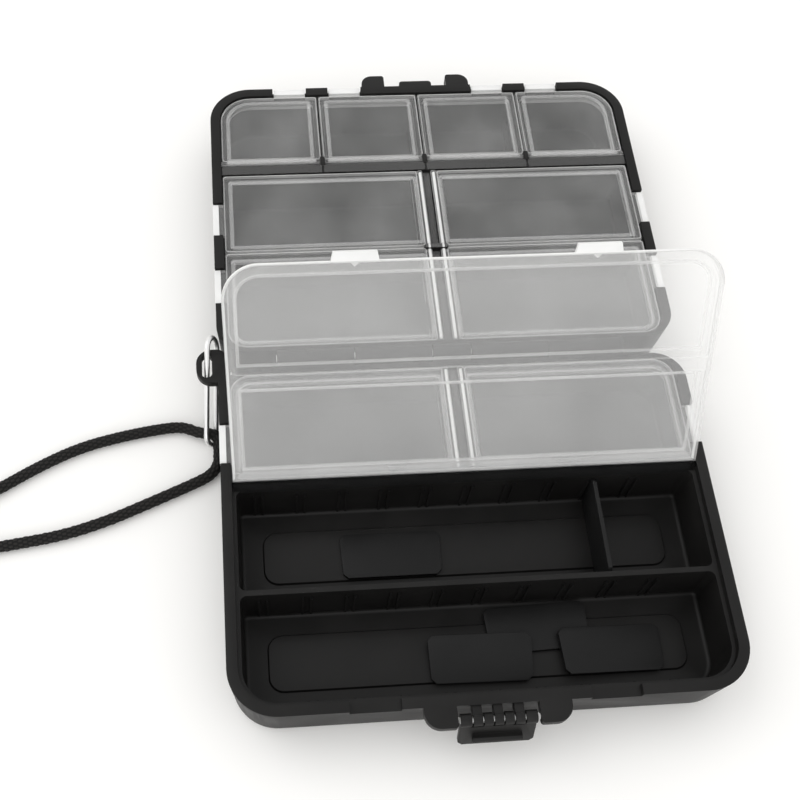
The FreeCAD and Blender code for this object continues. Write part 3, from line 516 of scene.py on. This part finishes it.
@dataclass
class WristCord:
    """Braided wrist cord: one long bight through the wire link."""

    diameter: float = 0.0028
    swell: float = 1.07
    length: float = 0.294
    low: float = 0.00151
    curve_steps: int = 24
    ring_step: float = 0.0002
    ring_points: int = 32
    pitch: float = 0.0024
    relief: float = 0.23
    strands: int = 8
    fullness: float = 0.6
    # Share of the relief under which a face gets the painted shade between strands.
    pit_below: float = 0.5
    path_step: int = 10
    least_span: float = 1e-9
    route: list[tuple[float, ...]] = field(default_factory=lambda: [
        (-0.07276, 0.01841), (-0.07919, 0.01564), (-0.0890, 0.0115), (-0.1000, 0.0081),
        (-0.1120, 0.0063), (-0.1245, 0.0046), (-0.1370, 0.0009), (-0.1500, -0.0039),
        (-0.1630, -0.0081), (-0.1760, -0.0101), (-0.1870, -0.0065), (-0.1925, 0.0023),
        (-0.1885, 0.0117), (-0.1780, 0.0161), (-0.1650, 0.0155), (-0.1515, 0.0129),
        (-0.1385, 0.0127), (-0.1270, 0.0161), (-0.1165, 0.0219), (-0.1065, 0.0279),
        (-0.0965, 0.0326), (-0.0865, 0.0352), (-0.0770, 0.0369), (-0.0702, 0.0375, 0.0015),
        (-0.06584, 0.03478, 0.00236), (-0.06097, 0.03349, 0.0040), (-0.06095, 0.0293, 0.00205),
        (-0.0611, 0.0259), (-0.0632, 0.0228), (-0.0678, 0.02055), (-0.07267, 0.01845)])

    def spine(self) -> list[Vector]:
        """Smooth the route, which lies low where it gives no height.

        Returns:
            Points along the cord's centre line.
        """
        curve = bpy.data.curves.new("cord_line", "CURVE")
        curve.dimensions = "3D"
        curve.resolution_u = self.curve_steps
        line = curve.splines.new("NURBS")
        line.points.add(len(self.route) - 1)
        for point, spot in zip(line.points, self.route):
            height = spot[2] if len(spot) == 3 else self.low
            point.co = (spot[0], spot[1], height, 1.0)
        line.order_u = 3
        line.use_endpoint_u = True
        holder = bpy.data.objects.new("cord_line", curve)
        bpy.context.scene.collection.objects.link(holder)
        bpy.context.view_layer.update()
        mesh = bpy.data.meshes.new_from_object(holder)
        points = [vertex.co.copy() for vertex in mesh.vertices]
        bpy.data.meshes.remove(mesh)
        bpy.data.objects.remove(holder)
        bpy.data.curves.remove(curve)
        return points

    def even(self, points: list[Vector]) -> list[Vector]:
        """Points at equal steps along a line.

        Args:
            points: the line's points.

        Returns:
            The evenly spaced points, with the first and last kept.
        """
        lengths = [0.0]
        for before, after in zip(points, points[1:]):
            lengths.append(lengths[-1] + (after - before).length)
        count = round(lengths[-1] / self.ring_step)
        result, place = [], 0
        for step in range(count + 1):
            target = lengths[-1] * step / count
            while place < len(points) - 2 and lengths[place + 1] < target:
                place += 1
            span = max(lengths[place + 1] - lengths[place], self.least_span)
            result.append(points[place].lerp(points[place + 1], (target - lengths[place]) / span))
        return result

    def strand_height(self, around: float, along: float) -> float:
        """Relief of the braid at a point of its surface.

        Args:
            around: angle round the cord in radians.
            along: distance along the cord in metres.

        Returns:
            A share of the relief, from 0 in a gap to 1 on a strand.
        """
        half = self.strands / 2
        climb = 2 * math.pi * along / self.pitch
        one = math.sin(half * around + climb / 2)
        other = math.sin(half * around - climb / 2)
        return abs(one * other) ** self.fullness

    def braided(self, points: list[Vector]) -> bmesh.types.BMesh:
        """Build the braided skin round a line.

        Args:
            points: the line's evenly spaced points.

        Returns:
            The closed tube, with finish 1, painted shade, on the faces between the strands.
        """
        tube = bmesh.new()
        side = Vector((0, 0, 1))
        rings, lifts, along = [], [], 0.0
        for index, point in enumerate(points):
            ahead = points[min(index + 1, len(points) - 1)]
            behind = points[max(index - 1, 0)]
            direction = (ahead - behind).normalized()
            side = (side - direction * side.dot(direction)).normalized()
            across = direction.cross(side)
            along += (point - behind).length if index else 0.0
            ring = []
            for step in range(self.ring_points):
                angle = 2 * math.pi * step / self.ring_points
                lift = self.strand_height(angle, along)
                lifts.append(lift)
                radius = self.diameter / 2 * self.swell * (1 - self.relief * (1 - lift))
                outward = side * math.cos(angle) + across * math.sin(angle)
                ring.append(tube.verts.new(point + outward * radius))
            rings.append(ring)
        for index, (ring, after) in enumerate(zip(rings, rings[1:])):
            for step in range(self.ring_points):
                other = (step + 1) % self.ring_points
                face = tube.faces.new((ring[step], ring[other], after[other], after[step]))
                first = index * self.ring_points
                middle = (lifts[first + step] + lifts[first + other]) / 2
                # Faces deep in a gap between strands get finish 1, which is painted shade.
                face.material_index = 1 if middle < self.pit_below else 0
        tube.faces.new(list(reversed(rings[0])))
        tube.faces.new(rings[-1])
        LOG.info("wrist cord with %d rings", len(rings))
        return tube

    def make(self, finishes: Finishes) -> bpy.types.Object:
        """Args:
            finishes: the box's materials.

        Returns:
            The cord.
        """
        points = self.even(self.spine())
        cord = link_mesh("lanyard_braid", self.braided(points))
        for face in cord.data.polygons:
            face.use_smooth = True
        dress(cord, finishes.yarn, finishes.pit)
        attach(cord, "lanyard")
        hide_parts("lanyard_cord")
        every = points[::self.path_step] + [points[-1]]
        [tuple(p) for p in every]
        return cord


def rounded(box: Box, radii: tuple[float, ...], steps: int = ARC_STEPS) -> list[Vector]:
    """Points round a rectangle whose corners each have their own radius.

    Args:
        box: left, right, near and far side.
        radii: corner radii, from the near left one counterclockwise.
        steps: steps on each corner's arc.

    Returns:
        The points counterclockwise at height 0.
    """
    x0, x1, y0, y1 = box
    corners = ((x0, y0, 1, 1), (x1, y0, -1, 1), (x1, y1, -1, -1), (x0, y1, 1, -1))
    points = []
    for turn, ((x, y, sx, sy), radius) in enumerate(zip(corners, radii)):
        for step in range(steps + 1):
            angle = math.radians(180 + 90 * turn + 90 * step / steps)
            points.append(Vector((x + sx * radius + math.cos(angle) * radius,
                                  y + sy * radius + math.sin(angle) * radius, 0)))
    return points


def strip_outline(box: Box, radius: float) -> list[tuple[float, float]]:
    """Outline of a small strip with four equal corners."""
    return [(point.x, point.y) for point in rounded(box, (radius,) * 4, SMALL_ARC_STEPS)]


def drawn_in(box: Box, distance: float) -> Box:
    """The same rectangle drawn in on every side."""
    x0, x1, y0, y1 = box
    return (x0 + distance, x1 - distance, y0 + distance, y1 - distance)


def mirrored(box: Box) -> Box:
    """The same rectangle on the other side of the centre line."""
    return (-box[1], -box[0], box[2], box[3])


def smaller(radii: tuple[float, ...], step: float, least: float) -> tuple[float, ...]:
    """Corner radii of a rectangle that is drawn in, none under the least one."""
    return tuple(max(radius - step, least) for radius in radii)


@dataclass
class FlatRing:
    """Low raised ring with rounded corners and an open underside, in millimetres."""

    box: Box
    radii: tuple[float, ...]
    band: float
    low: float
    high: float
    slope: float
    least_radius: float = 0.15

    def add_to(self, shape: bmesh.types.BMesh, finish: int) -> None:
        """Add the ring to a mesh.

        Args:
            shape: the mesh that is being built.
            finish: number of the finish that the ring gets.
        """
        shoulder = self.high - self.slope
        profile = ((0.0, self.low), (0.0, shoulder), (self.slope, self.high),
                   (self.band - self.slope, self.high), (self.band, shoulder), (self.band, self.low))
        loops = []
        for distance, height in profile:
            radii = smaller(self.radii, distance, self.least_radius)
            points = rounded(drawn_in(self.box, distance), radii)
            loops.append([shape.verts.new((p.x * MM, p.y * MM, height * MM)) for p in points])
        for face in bridged(shape, loops):
            face.material_index = finish
            face.smooth = True


def bridged(shape: bmesh.types.BMesh, loops: list[list[bmesh.types.BMVert]]) -> list[bmesh.types.BMFace]:
    """Join closed loops of equal length with bands of faces.

    Args:
        shape: the mesh that is being built.
        loops: the loops in order.

    Returns:
        The new faces.
    """
    faces = []
    for loop, after in zip(loops, loops[1:]):
        for index in range(len(loop)):
            other = (index + 1) % len(loop)
            faces.append(shape.faces.new((loop[index], loop[other], after[other], after[index])))
    return faces


def add_prism(shape: bmesh.types.BMesh, outline: list[tuple[float, float]], low: float, high: float,
              finish: int) -> None:
    """Add a straight block with an open underside to a mesh.

    Args:
        shape: the mesh that is being built.
        outline: the block's corners in millimetres.
        low: height of its lower edge.
        high: height of its top.
        finish: number of the finish that it gets.
    """
    floor, roof = ([shape.verts.new((x * MM, y * MM, height * MM)) for x, y in outline]
                   for height in (low, high))
    for face in [shape.faces.new(roof)] + bridged(shape, [floor, roof]):
        face.material_index = finish


def add_bar(shape: bmesh.types.BMesh, start: Vector, end: Vector, radius: float, finish: int) -> None:
    """Add a thin round bar with domed ends to a mesh.

    Args:
        shape: the mesh that is being built.
        start: one end in millimetres.
        end: the other end in millimetres.
        radius: the bar's radius in millimetres.
        finish: number of the finish that it gets.
    """
    direction = (end - start).normalized()
    side = direction.orthogonal().normalized()
    across = direction.cross(side)
    stations = [(start + direction * reach * radius, share) for reach, share in BAR_DOME]
    stations += [(end - direction * reach * radius, share) for reach, share in reversed(BAR_DOME)]
    loops = []
    for place, share in stations:
        loop = []
        for step in range(BAR_SIDES):
            angle = 2 * math.pi * step / BAR_SIDES
            spot = place + (side * math.cos(angle) + across * math.sin(angle)) * radius * share
            loop.append(shape.verts.new(spot * MM))
        loops.append(loop)
    ends = [shape.faces.new(list(reversed(loops[0]))), shape.faces.new(loops[-1])]
    for face in ends + bridged(shape, loops):
        face.material_index = finish
        face.smooth = True


def placed(shape: bmesh.types.BMesh, name: str, materials: list[bpy.types.Material], body: str) -> bpy.types.Object:
    """Finish a built mesh as a piece that rides on a body.

    Args:
        shape: the mesh that was built; it is freed.
        name: the piece's name.
        materials: its finishes in the order of their numbers.
        body: the moving body that it belongs to.

    Returns:
        The new piece.
    """
    bmesh.ops.recalc_face_normals(shape, faces=shape.faces)
    obj = link_mesh(name, shape)
    dress(obj, *materials)
    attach(obj, body)
    return obj


@dataclass
class Levels:
    """Lines of the box that several groups share, in millimetres."""

    hinge_y: float = 47.3
    lid_edge_x: float = 57.1
    lid_top: float = 16.4
    axis_x: float = 1.9
    small_axis_y: float = 112.5
    far_edge_y: float = 136.4
    rail: tuple[float, float] = (108.1, 111.1)
    rail_top: float = 16.6
    splits: tuple[float, ...] = (-57.4, -29.0, 0.0, 29.0, 57.4)
    middle_y: tuple[float, float] = (81.75, 107.8)
    hinge_row_y: tuple[float, float] = (51.4, 81.25)
    base_y: tuple[float, float] = (15.25, 43.2)
    middle_boss: tuple[float, float] = (80.85, 82.15)
    base_boss: tuple[float, float] = (14.4, 15.5)
    tab_x: float = 58.5
    tab_y: float = 137.5


@dataclass
class Trays:
    """The two black trays with softly rounded edges and the frosted strips on their walls.

    The rounded edge's width is in metres and the lines are in millimetres.
    """

    edge: float = 0.00022
    levels: Levels = field(default_factory=Levels)
    bearing: tuple[float, float] = (9.2, 14.1)
    bearing_low: float = 14.2
    rib_heights: tuple[float, float] = (5.0, 14.3)
    rib_half_width: float = 56.0
    rows_near: float = -42.0
    upward: float = 0.2
    strip_height: float = 0.14
    rail_ends: float = 0.3
    rail_sides: tuple[float, float] = (0.05, 0.2)
    rail_corner: float = 0.2
    wall_half_width: float = 0.95
    wall_corner: float = 0.3
    wall_levels: tuple[float, float] = (15.08, 15.3)
    middle_ends: tuple[float, float] = (0.45, -0.25)
    hinge_row_ends: tuple[float, float] = (0.2, 0.45)
    base_ends: tuple[float, float] = (0.45, 0.2)
    cap_half_width: float = 3.0
    cap_inset: float = 0.1
    cap_levels: tuple[float, float] = (16.78, 16.92)
    bar_level: float = 16.74
    bar_inset: float = 0.02
    bar_radius: float = 0.34

    def zone(self, middle: Vector, direction: Vector) -> int:
        """Finish of a face of the front tray.

        Args:
            middle: the face's middle in metres.
            direction: the face's normal.

        Returns:
            1 for the up-facing tops of the ribs and of the panel's bearing, which get painted shade, 0 elsewhere.
        """
        x, y, z = (value / MM for value in middle)
        in_rows = abs(x) < self.rib_half_width and self.rows_near < y < self.bearing[1]
        rib = in_rows and self.rib_heights[0] < z < self.rib_heights[1]
        bearing = z > self.bearing_low and self.bearing[0] < y < self.bearing[1]
        return 1 if direction.z > self.upward and (rib or bearing) else 0

    def rail_strips(self, finishes: Finishes) -> None:
        """Lay the thin frosted strips over the rail behind the middle lids.

        Args:
            finishes: the box's materials.
        """
        shape = bmesh.new()
        y0, y1 = self.levels.rail
        near, far = self.rail_sides
        top = self.levels.rail_top
        for x0, x1 in zip(self.levels.splits, self.levels.splits[1:]):
            box = (x0 + self.rail_ends, x1 - self.rail_ends, y0 + near, y1 - far)
            outline = strip_outline(box, self.rail_corner)
            add_prism(shape, outline, top - SUNK, top + self.strip_height, 0)
        placed(shape, "rail_strips", [finishes.strip], "back_half")

    def boss_cap(self, shape: bmesh.types.BMesh, boss: tuple[float, float]) -> None:
        """Cap the boss where four lids meet and lay a light bar on each hinge line.

        Args:
            shape: the mesh that is being built.
            boss: near and far side of the boss.
        """
        near, far = boss
        box = (-self.cap_half_width, self.cap_half_width, near + self.cap_inset, far - self.cap_inset)
        add_prism(shape, strip_outline(box, self.wall_corner), *self.cap_levels, 0)
        for side in Side:
            x = side.value * self.levels.axis_x
            start = Vector((x, near + self.bar_inset, self.bar_level))
            end = Vector((x, far - self.bar_inset, self.bar_level))
            add_bar(shape, start, end, self.bar_radius, 1)

    def centre_strips(self, finishes: Finishes) -> None:
        """Lay the frosted strips on the centre walls between the lids' barrels.

        Args:
            finishes: the box's materials.
        """
        levels = self.levels
        rows = (("middle", "back_half", levels.middle_y, self.middle_ends, levels.middle_boss),
                ("hinge_row", "back_half", levels.hinge_row_y, self.hinge_row_ends, None),
                ("base", "front_half", levels.base_y, self.base_ends, levels.base_boss))
        for name, body, (y0, y1), (near, far), boss in rows:
            shape = bmesh.new()
            box = (-self.wall_half_width, self.wall_half_width, y0 + near, y1 - far)
            add_prism(shape, strip_outline(box, self.wall_corner), *self.wall_levels, 0)
            if boss:
                self.boss_cap(shape, boss)
            placed(shape, name + "_centre_strip", [finishes.lid, finishes.tab], body)

    def make(self, finishes: Finishes) -> None:
        """Round and dress both trays, the latch and the pins.

        Args:
            finishes: the box's materials.
        """
        black = [finishes.black]
        # The front tray's rib and bearing tops get the second finish, which is painted shade.
        softened("base_tray", "front_tray", self.edge, [finishes.black, finishes.smooth], "front_half",
                 self.zone)
        softened("lid_tray", "back_tray", self.edge, black, "back_half")
        softened("front_latch", "latch_flap", self.edge, black, "latch")
        self.rail_strips(finishes)
        self.centre_strips(finishes)
        for node in ("shell_hinge_pin", "latch_pin", "lanyard_link"):
            dress(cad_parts[node], finishes.steel)


@dataclass
class Lids:
    """Frosted lids of the ten small compartments, each with a bead round its window."""

    edge: float = 0.00018
    levels: Levels = field(default_factory=Levels)
    gap: float = 0.3
    inset: float = 0.1
    rim_width: float = 0.3
    rim_height: float = 0.16
    rim_slope: float = 0.06
    bead_width: float = 1.1
    bead_height: float = 0.3
    bead_slope: float = 0.3
    corner: float = 0.9
    outer_corner: float = 8.4
    hinge_end_corner: float = 5.0
    bead_corner_step: float = 1.4
    least_corner: float = 0.7
    axis_bead: float = 0.42
    small_axis_gap: float = 0.5
    small_axis_ends: float = 1.2
    wide_axis_gap: float = 0.9
    wide_axis_ends: float = 0.5
    small_insets: tuple[float, ...] = (1.4, 1.7, 0.3, 1.3)
    wide_insets: tuple[float, ...] = (1.0, 1.4, 0.9, 1.8)

    def zone(self, middle: Vector, direction: Vector) -> int:
        """Finish of a lid's face.

        Args:
            middle: the face's middle in metres.
            direction: the face's normal.

        Returns:
            2 for a tab, 1 for an edge and 0 for a flat side.
        """
        if abs(middle.x) > self.levels.tab_x * MM or middle.y > self.levels.tab_y * MM:
            return 2
        return 1 if abs(direction.z) < STEEP else 0

    def border(self, name: str, box: Box, bead: Box, radii: tuple[float, ...],
               axis: tuple[Vector, Vector], finishes: Finishes) -> None:
        """Raise one lid's thin rim, the bead round its window and the light line along its hinge.

        Args:
            name: the lid's name.
            box: the rim's outer rectangle in millimetres.
            bead: the bead's outer rectangle in millimetres.
            radii: the rim's outer corner radii.
            axis: both ends of the hinge's light line.
            finishes: the box's materials.
        """
        low = self.levels.lid_top - SUNK
        shape = bmesh.new()
        FlatRing(box, radii, self.rim_width, low, low + self.rim_height, self.rim_slope).add_to(shape, 1)
        within = smaller(radii, self.bead_corner_step, self.least_corner)
        FlatRing(bead, within, self.bead_width, low, low + self.bead_height,
                 self.bead_slope).add_to(shape, 0)
        add_bar(shape, axis[0], axis[1], self.axis_bead, 0 if name.startswith("small") else 2)
        placed(shape, name + "_border", [finishes.bead, finishes.edge, finishes.tab], name + "_body")

    def small_lids(self, finishes: Finishes) -> None:
        """Rims and beads of the four small lids of the far row.

        Args:
            finishes: the box's materials.
        """
        splits = self.levels.splits
        last = len(splits) - 2
        left, right, near, far = self.small_insets
        y, height = self.levels.small_axis_y, self.levels.lid_top - SUNK
        for index, (x0, x1) in enumerate(zip(splits, splits[1:])):
            box = (x0 + self.gap + self.inset, x1 - self.gap - self.inset, y + self.small_axis_gap,
                   self.levels.far_edge_y - self.inset)
            bead = (box[0] + left, box[1] - right, y + near, box[3] - far)
            radii = (self.corner, self.corner, self.outer_corner if index == last else self.corner,
                     self.outer_corner if index == 0 else self.corner)
            axis = (Vector((box[0] + self.small_axis_ends, y, height)),
                    Vector((box[1] - self.small_axis_ends, y, height)))
            self.border(f"small_lid_{index + 1}", box, bead, radii, axis, finishes)

    def wide_lids(self, finishes: Finishes) -> None:
        """Rims and beads of the six wide lids.

        Args:
            finishes: the box's materials.
        """
        levels, plain, by_hinge = self.levels, self.corner, self.hinge_end_corner
        rows = (("middle", levels.middle_y, (plain, plain)),
                ("hinge", levels.hinge_row_y, (by_hinge, plain)),
                ("base", levels.base_y, (plain, by_hinge)))
        inner, outer, near, far = self.wide_insets
        height = levels.lid_top - SUNK
        for row, (y0, y1), (near_corner, far_corner) in rows:
            box = (levels.axis_x + self.wide_axis_gap, levels.lid_edge_x - self.inset, y0 + self.inset,
                   y1 - self.inset)
            bead = (levels.axis_x + inner, box[1] - outer, box[2] + near, box[3] - far)
            for side, place, radii in ((Side.LEFT, mirrored, (near_corner, plain, plain, far_corner)),
                                       (Side.RIGHT, tuple, (plain, near_corner, far_corner, plain))):
                x = side.value * levels.axis_x
                axis = (Vector((x, y0 + self.wide_axis_ends, height)),
                        Vector((x, y1 - self.wide_axis_ends, height)))
                name = f"{row}_lid_{side.name.lower()}"
                self.border(name, place(box), place(bead), radii, axis, finishes)

    def make(self, finishes: Finishes) -> None:
        """Round and dress every lid.

        Args:
            finishes: the box's materials.
        """
        names = [f"small_lid_{index + 1}" for index in range(len(self.levels.splits) - 1)]
        names += [f"{row}_lid_{side.name.lower()}" for row in ("middle", "hinge", "base") for side in Side]
        looks = [finishes.lid, finishes.edge, finishes.tab]
        sideways, onward = Vector((1, 0, 0)), Vector((0, 1, 0))
        cuts = tuple((Vector((side.value * self.levels.tab_x * MM, 0, 0)), sideways) for side in Side)
        cuts += ((Vector((0, self.levels.tab_y * MM, 0)), onward),)
        for name in names:
            softened(name, name + "_plate", self.edge, looks, name + "_body",
                     self.zone, cuts)
        self.small_lids(finishes)
        self.wide_lids(finishes)


@dataclass
class CoverPanel:
    """Clear cover panel over the two open rows, with two bordered windows.

    Its lines are in millimetres of the shut panel, in the back half's frame.
    """

    edge: float = 0.00018
    levels: Levels = field(default_factory=Levels)
    lean: float = 126.0
    axis_y: float = 34.6
    axis_z: float = 15.9
    barrel_reach: float = 1.3
    foot_reach: float = 1.2
    edge_depth: float = 1.25
    free_reach: float = 46.0
    tab_start: float = 0.1
    tab_cut: float = 0.05
    top: float = 16.4
    side_x: float = 56.8
    overhang: float = 0.25
    near_window: tuple[float, float] = (36.0, 61.6)
    far_window: tuple[float, float] = (62.6, 88.8)
    rim_width: float = 0.6
    rim_height: float = 0.12
    border_width: float = 2.6
    band_inset: float = 0.4
    band_height: float = 0.1
    slope: float = 0.05
    bead_width: float = 0.8
    bead_height: float = 0.2
    bead_slope: float = 0.2
    far_corner: float = 8.3
    far_corner_gain: float = 0.2
    near_corner: float = 0.8
    least_corner: float = 0.3
    mark_x: float = 27.3
    mark_width: float = 3.2
    mark_depth: float = 1.5
    mark_reach: float = 0.2
    mark_levels: tuple[float, float] = (0.15, 0.35)

    def leaning(self) -> Matrix:
        """Work out where the panel leans.

        Returns:
            The turn that takes the shut panel of the back half's frame there.
        """
        axis = Vector((0, self.axis_y * MM, self.axis_z * MM))
        turn = Matrix.Rotation(math.radians(self.lean), 4, "X")
        mirror = Matrix.Scale(-1, 4, (0, 1, 0))
        shift = Matrix.Translation((0, self.levels.hinge_y * MM, 0))
        return shift @ mirror @ Matrix.Translation(axis) @ turn @ Matrix.Translation(-axis)

    def free_y(self) -> float:
        """Line of the shut panel's free edge."""
        return self.levels.far_edge_y - self.levels.hinge_y

    def zone(self, middle: Vector, direction: Vector) -> int:
        """Finish of a face of the panel.

        Args:
            middle: the face's middle in metres.
            direction: the face's normal.

        Returns:
            3 on the barrel, 2 for a tab or free edge, 1 for a side edge and 0 for a flat side.
        """
        shut = (self.leaning().inverted() @ middle) / MM
        facing = self.leaning().to_3x3().inverted() @ direction
        if math.hypot(shut.y - self.axis_y, shut.z - self.axis_z) < self.barrel_reach:
            return 3
        on_edge = abs(facing.z) < STEEP and shut.z > self.top - self.edge_depth
        far_along = shut.y > self.axis_y + self.free_reach
        if shut.y > self.free_y() + self.tab_start or on_edge and far_along:
            return 2
        return 1 if on_edge else 0

    def plate(self, finishes: Finishes) -> None:
        """Round and dress the panel itself, parted along its tabs and its foot.

        Args:
            finishes: the box's materials.
        """
        looks = [finishes.panel, finishes.edge, finishes.tab, finishes.clear]
        place = self.leaning()
        along = place.to_3x3() @ Vector((0, 1, 0))
        lines = (self.free_y() + self.tab_cut, self.axis_y + self.foot_reach)
        cuts = tuple((place @ Vector((0, y * MM, self.top * MM)), along) for y in lines)
        softened("cover_panel", "panel_plate", self.edge, looks, "panel", self.zone, cuts)

    def borders(self, shape: bmesh.types.BMesh) -> None:
        """Raise the panel's rim, the band inside it and the beads round both windows.

        Args:
            shape: the mesh that is being built.
        """
        low, least = self.top - SUNK, self.least_corner
        outer = (-self.side_x - self.overhang, self.side_x + self.overhang,
                 self.near_window[0] - self.rim_width, self.far_window[1] + self.overhang)
        far_corner = self.far_corner + self.far_corner_gain
        radii = (least, least, far_corner, far_corner)
        FlatRing(outer, radii, self.rim_width, low, self.top + self.rim_height,
                 self.slope).add_to(shape, 2)
        FlatRing(drawn_in(outer, self.rim_width), smaller(radii, self.rim_width, least),
                 self.border_width - self.band_inset, low, self.top + self.band_height,
                 self.slope).add_to(shape, 0)
        # Faces along the foot take finish 3, a whiter veil that is painted light.
        for face in shape.faces:
            if face.calc_center_median().y < (self.near_window[0] + self.border_width) * MM:
                face.material_index = 3
        inner = self.border_width - self.bead_width / 2
        for (y0, y1), corner in ((self.near_window, self.near_corner), (self.far_window, self.far_corner)):
            box = drawn_in((-self.side_x, self.side_x, y0, y1), inner)
            corners = smaller((self.near_corner, self.near_corner, corner, corner), inner, least)
            FlatRing(box, corners, self.bead_width, low, self.top + self.bead_height,
                     self.bead_slope).add_to(shape, 1)

    def marks(self, shape: bmesh.types.BMesh) -> None:
        """Raise the small triangles that point at the tabs.

        Args:
            shape: the mesh that is being built.
        """
        edge_y = self.far_window[1] + self.mark_reach
        low, high = self.mark_levels
        half = self.mark_width / 2
        for side in Side:
            x = side.value * self.mark_x
            outline = [(x - half, edge_y), (x, edge_y - self.mark_depth), (x + half, edge_y)]
            add_prism(shape, outline, self.top + low, self.top + high, 2)

    def make(self, finishes: Finishes) -> None:
        """Round and dress the panel and raise its borders.

        Args:
            finishes: the box's materials.
        """
        self.plate(finishes)
        shape = bmesh.new()
        self.borders(shape)
        self.marks(shape)
        shape.transform(self.leaning())
        placed(shape, "panel_borders", [finishes.border, finishes.edge, finishes.tab, finishes.foot],
               "panel")


@dataclass
class Dividers:
    """Divider plates, one fitted and four loose."""

    edge: float = 0.00012

    def make(self, finishes: Finishes) -> None:
        """Round and dress the dividers.

        Args:
            finishes: the box's materials.
        """
        looks = [finishes.plate]
        softened("fitted_divider", "standing_divider", self.edge, looks, "divider")
        for place in ("middle", "under", "front_left", "front_right"):
            softened("spare_divider_" + place, "loose_divider_" + place, self.edge, looks, "front_half")


@dataclass
class SoftLight:
    """Square soft light that faces the box, in metres and watts.

    Its target is a point on the floor under the box.
    """

    name: str
    place: tuple[float, float, float]
    power: float
    size: float = 1.0
    target: tuple[float, float, float] = (0.0, 0.04, 0.0)

    def make(self) -> None:
        """Hang the light."""
        data = bpy.data.lights.new(self.name, "AREA")
        data.size = self.size
        data.energy = self.power
        lamp = bpy.data.objects.new(self.name, data)
        lamp.location = self.place
        towards = Vector(self.target) - Vector(self.place)
        lamp.rotation_euler = towards.to_track_quat("-Z", "Y").to_euler()
        bpy.context.scene.collection.objects.link(lamp)


@dataclass
class Studio:
    """Paper floor, soft lights and an even surround."""

    surround: float = 0.93
    floor_size: float = 3.0
    floor_squares: int = 8
    lights: tuple[SoftLight, ...] = (SoftLight("left_light", (-0.8, 0.35, 1.0), 3.4),
                                     SoftLight("front_light", (-0.2, -1.0, 0.8), 2.8))

    def make(self) -> None:
        """Lay the floor and set the lights."""
        sheet = bmesh.new()
        bmesh.ops.create_grid(sheet, x_segments=self.floor_squares, y_segments=self.floor_squares,
                              size=self.floor_size / 2)
        floor = link_mesh("studio_floor", sheet)
        dress(floor, StudioPaper().make())
        world = bpy.data.worlds.new("even_surround")
        world.use_nodes = True
        set_inputs(world.node_tree.nodes["Background"], Color=(1.0, 1.0, 1.0, 1.0), Strength=self.surround)
        bpy.context.scene.world = world
        for light in self.lights:
            light.make()
        bpy.context.scene.view_settings.view_transform = "Standard"


def main() -> None:
    """Build every group of the box in order."""
    logging.basicConfig(level=logging.INFO)
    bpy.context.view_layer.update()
    finishes = Finishes.mix()
    PhotoCamera().make()
    WristCord().make(finishes)
    for group in (Trays(), Lids(), CoverPanel(), Dividers()):
        group.make(finishes)
        LOG.info("%s done", type(group).__name__)
    Studio().make()


if __name__ == "__main__":
    main()
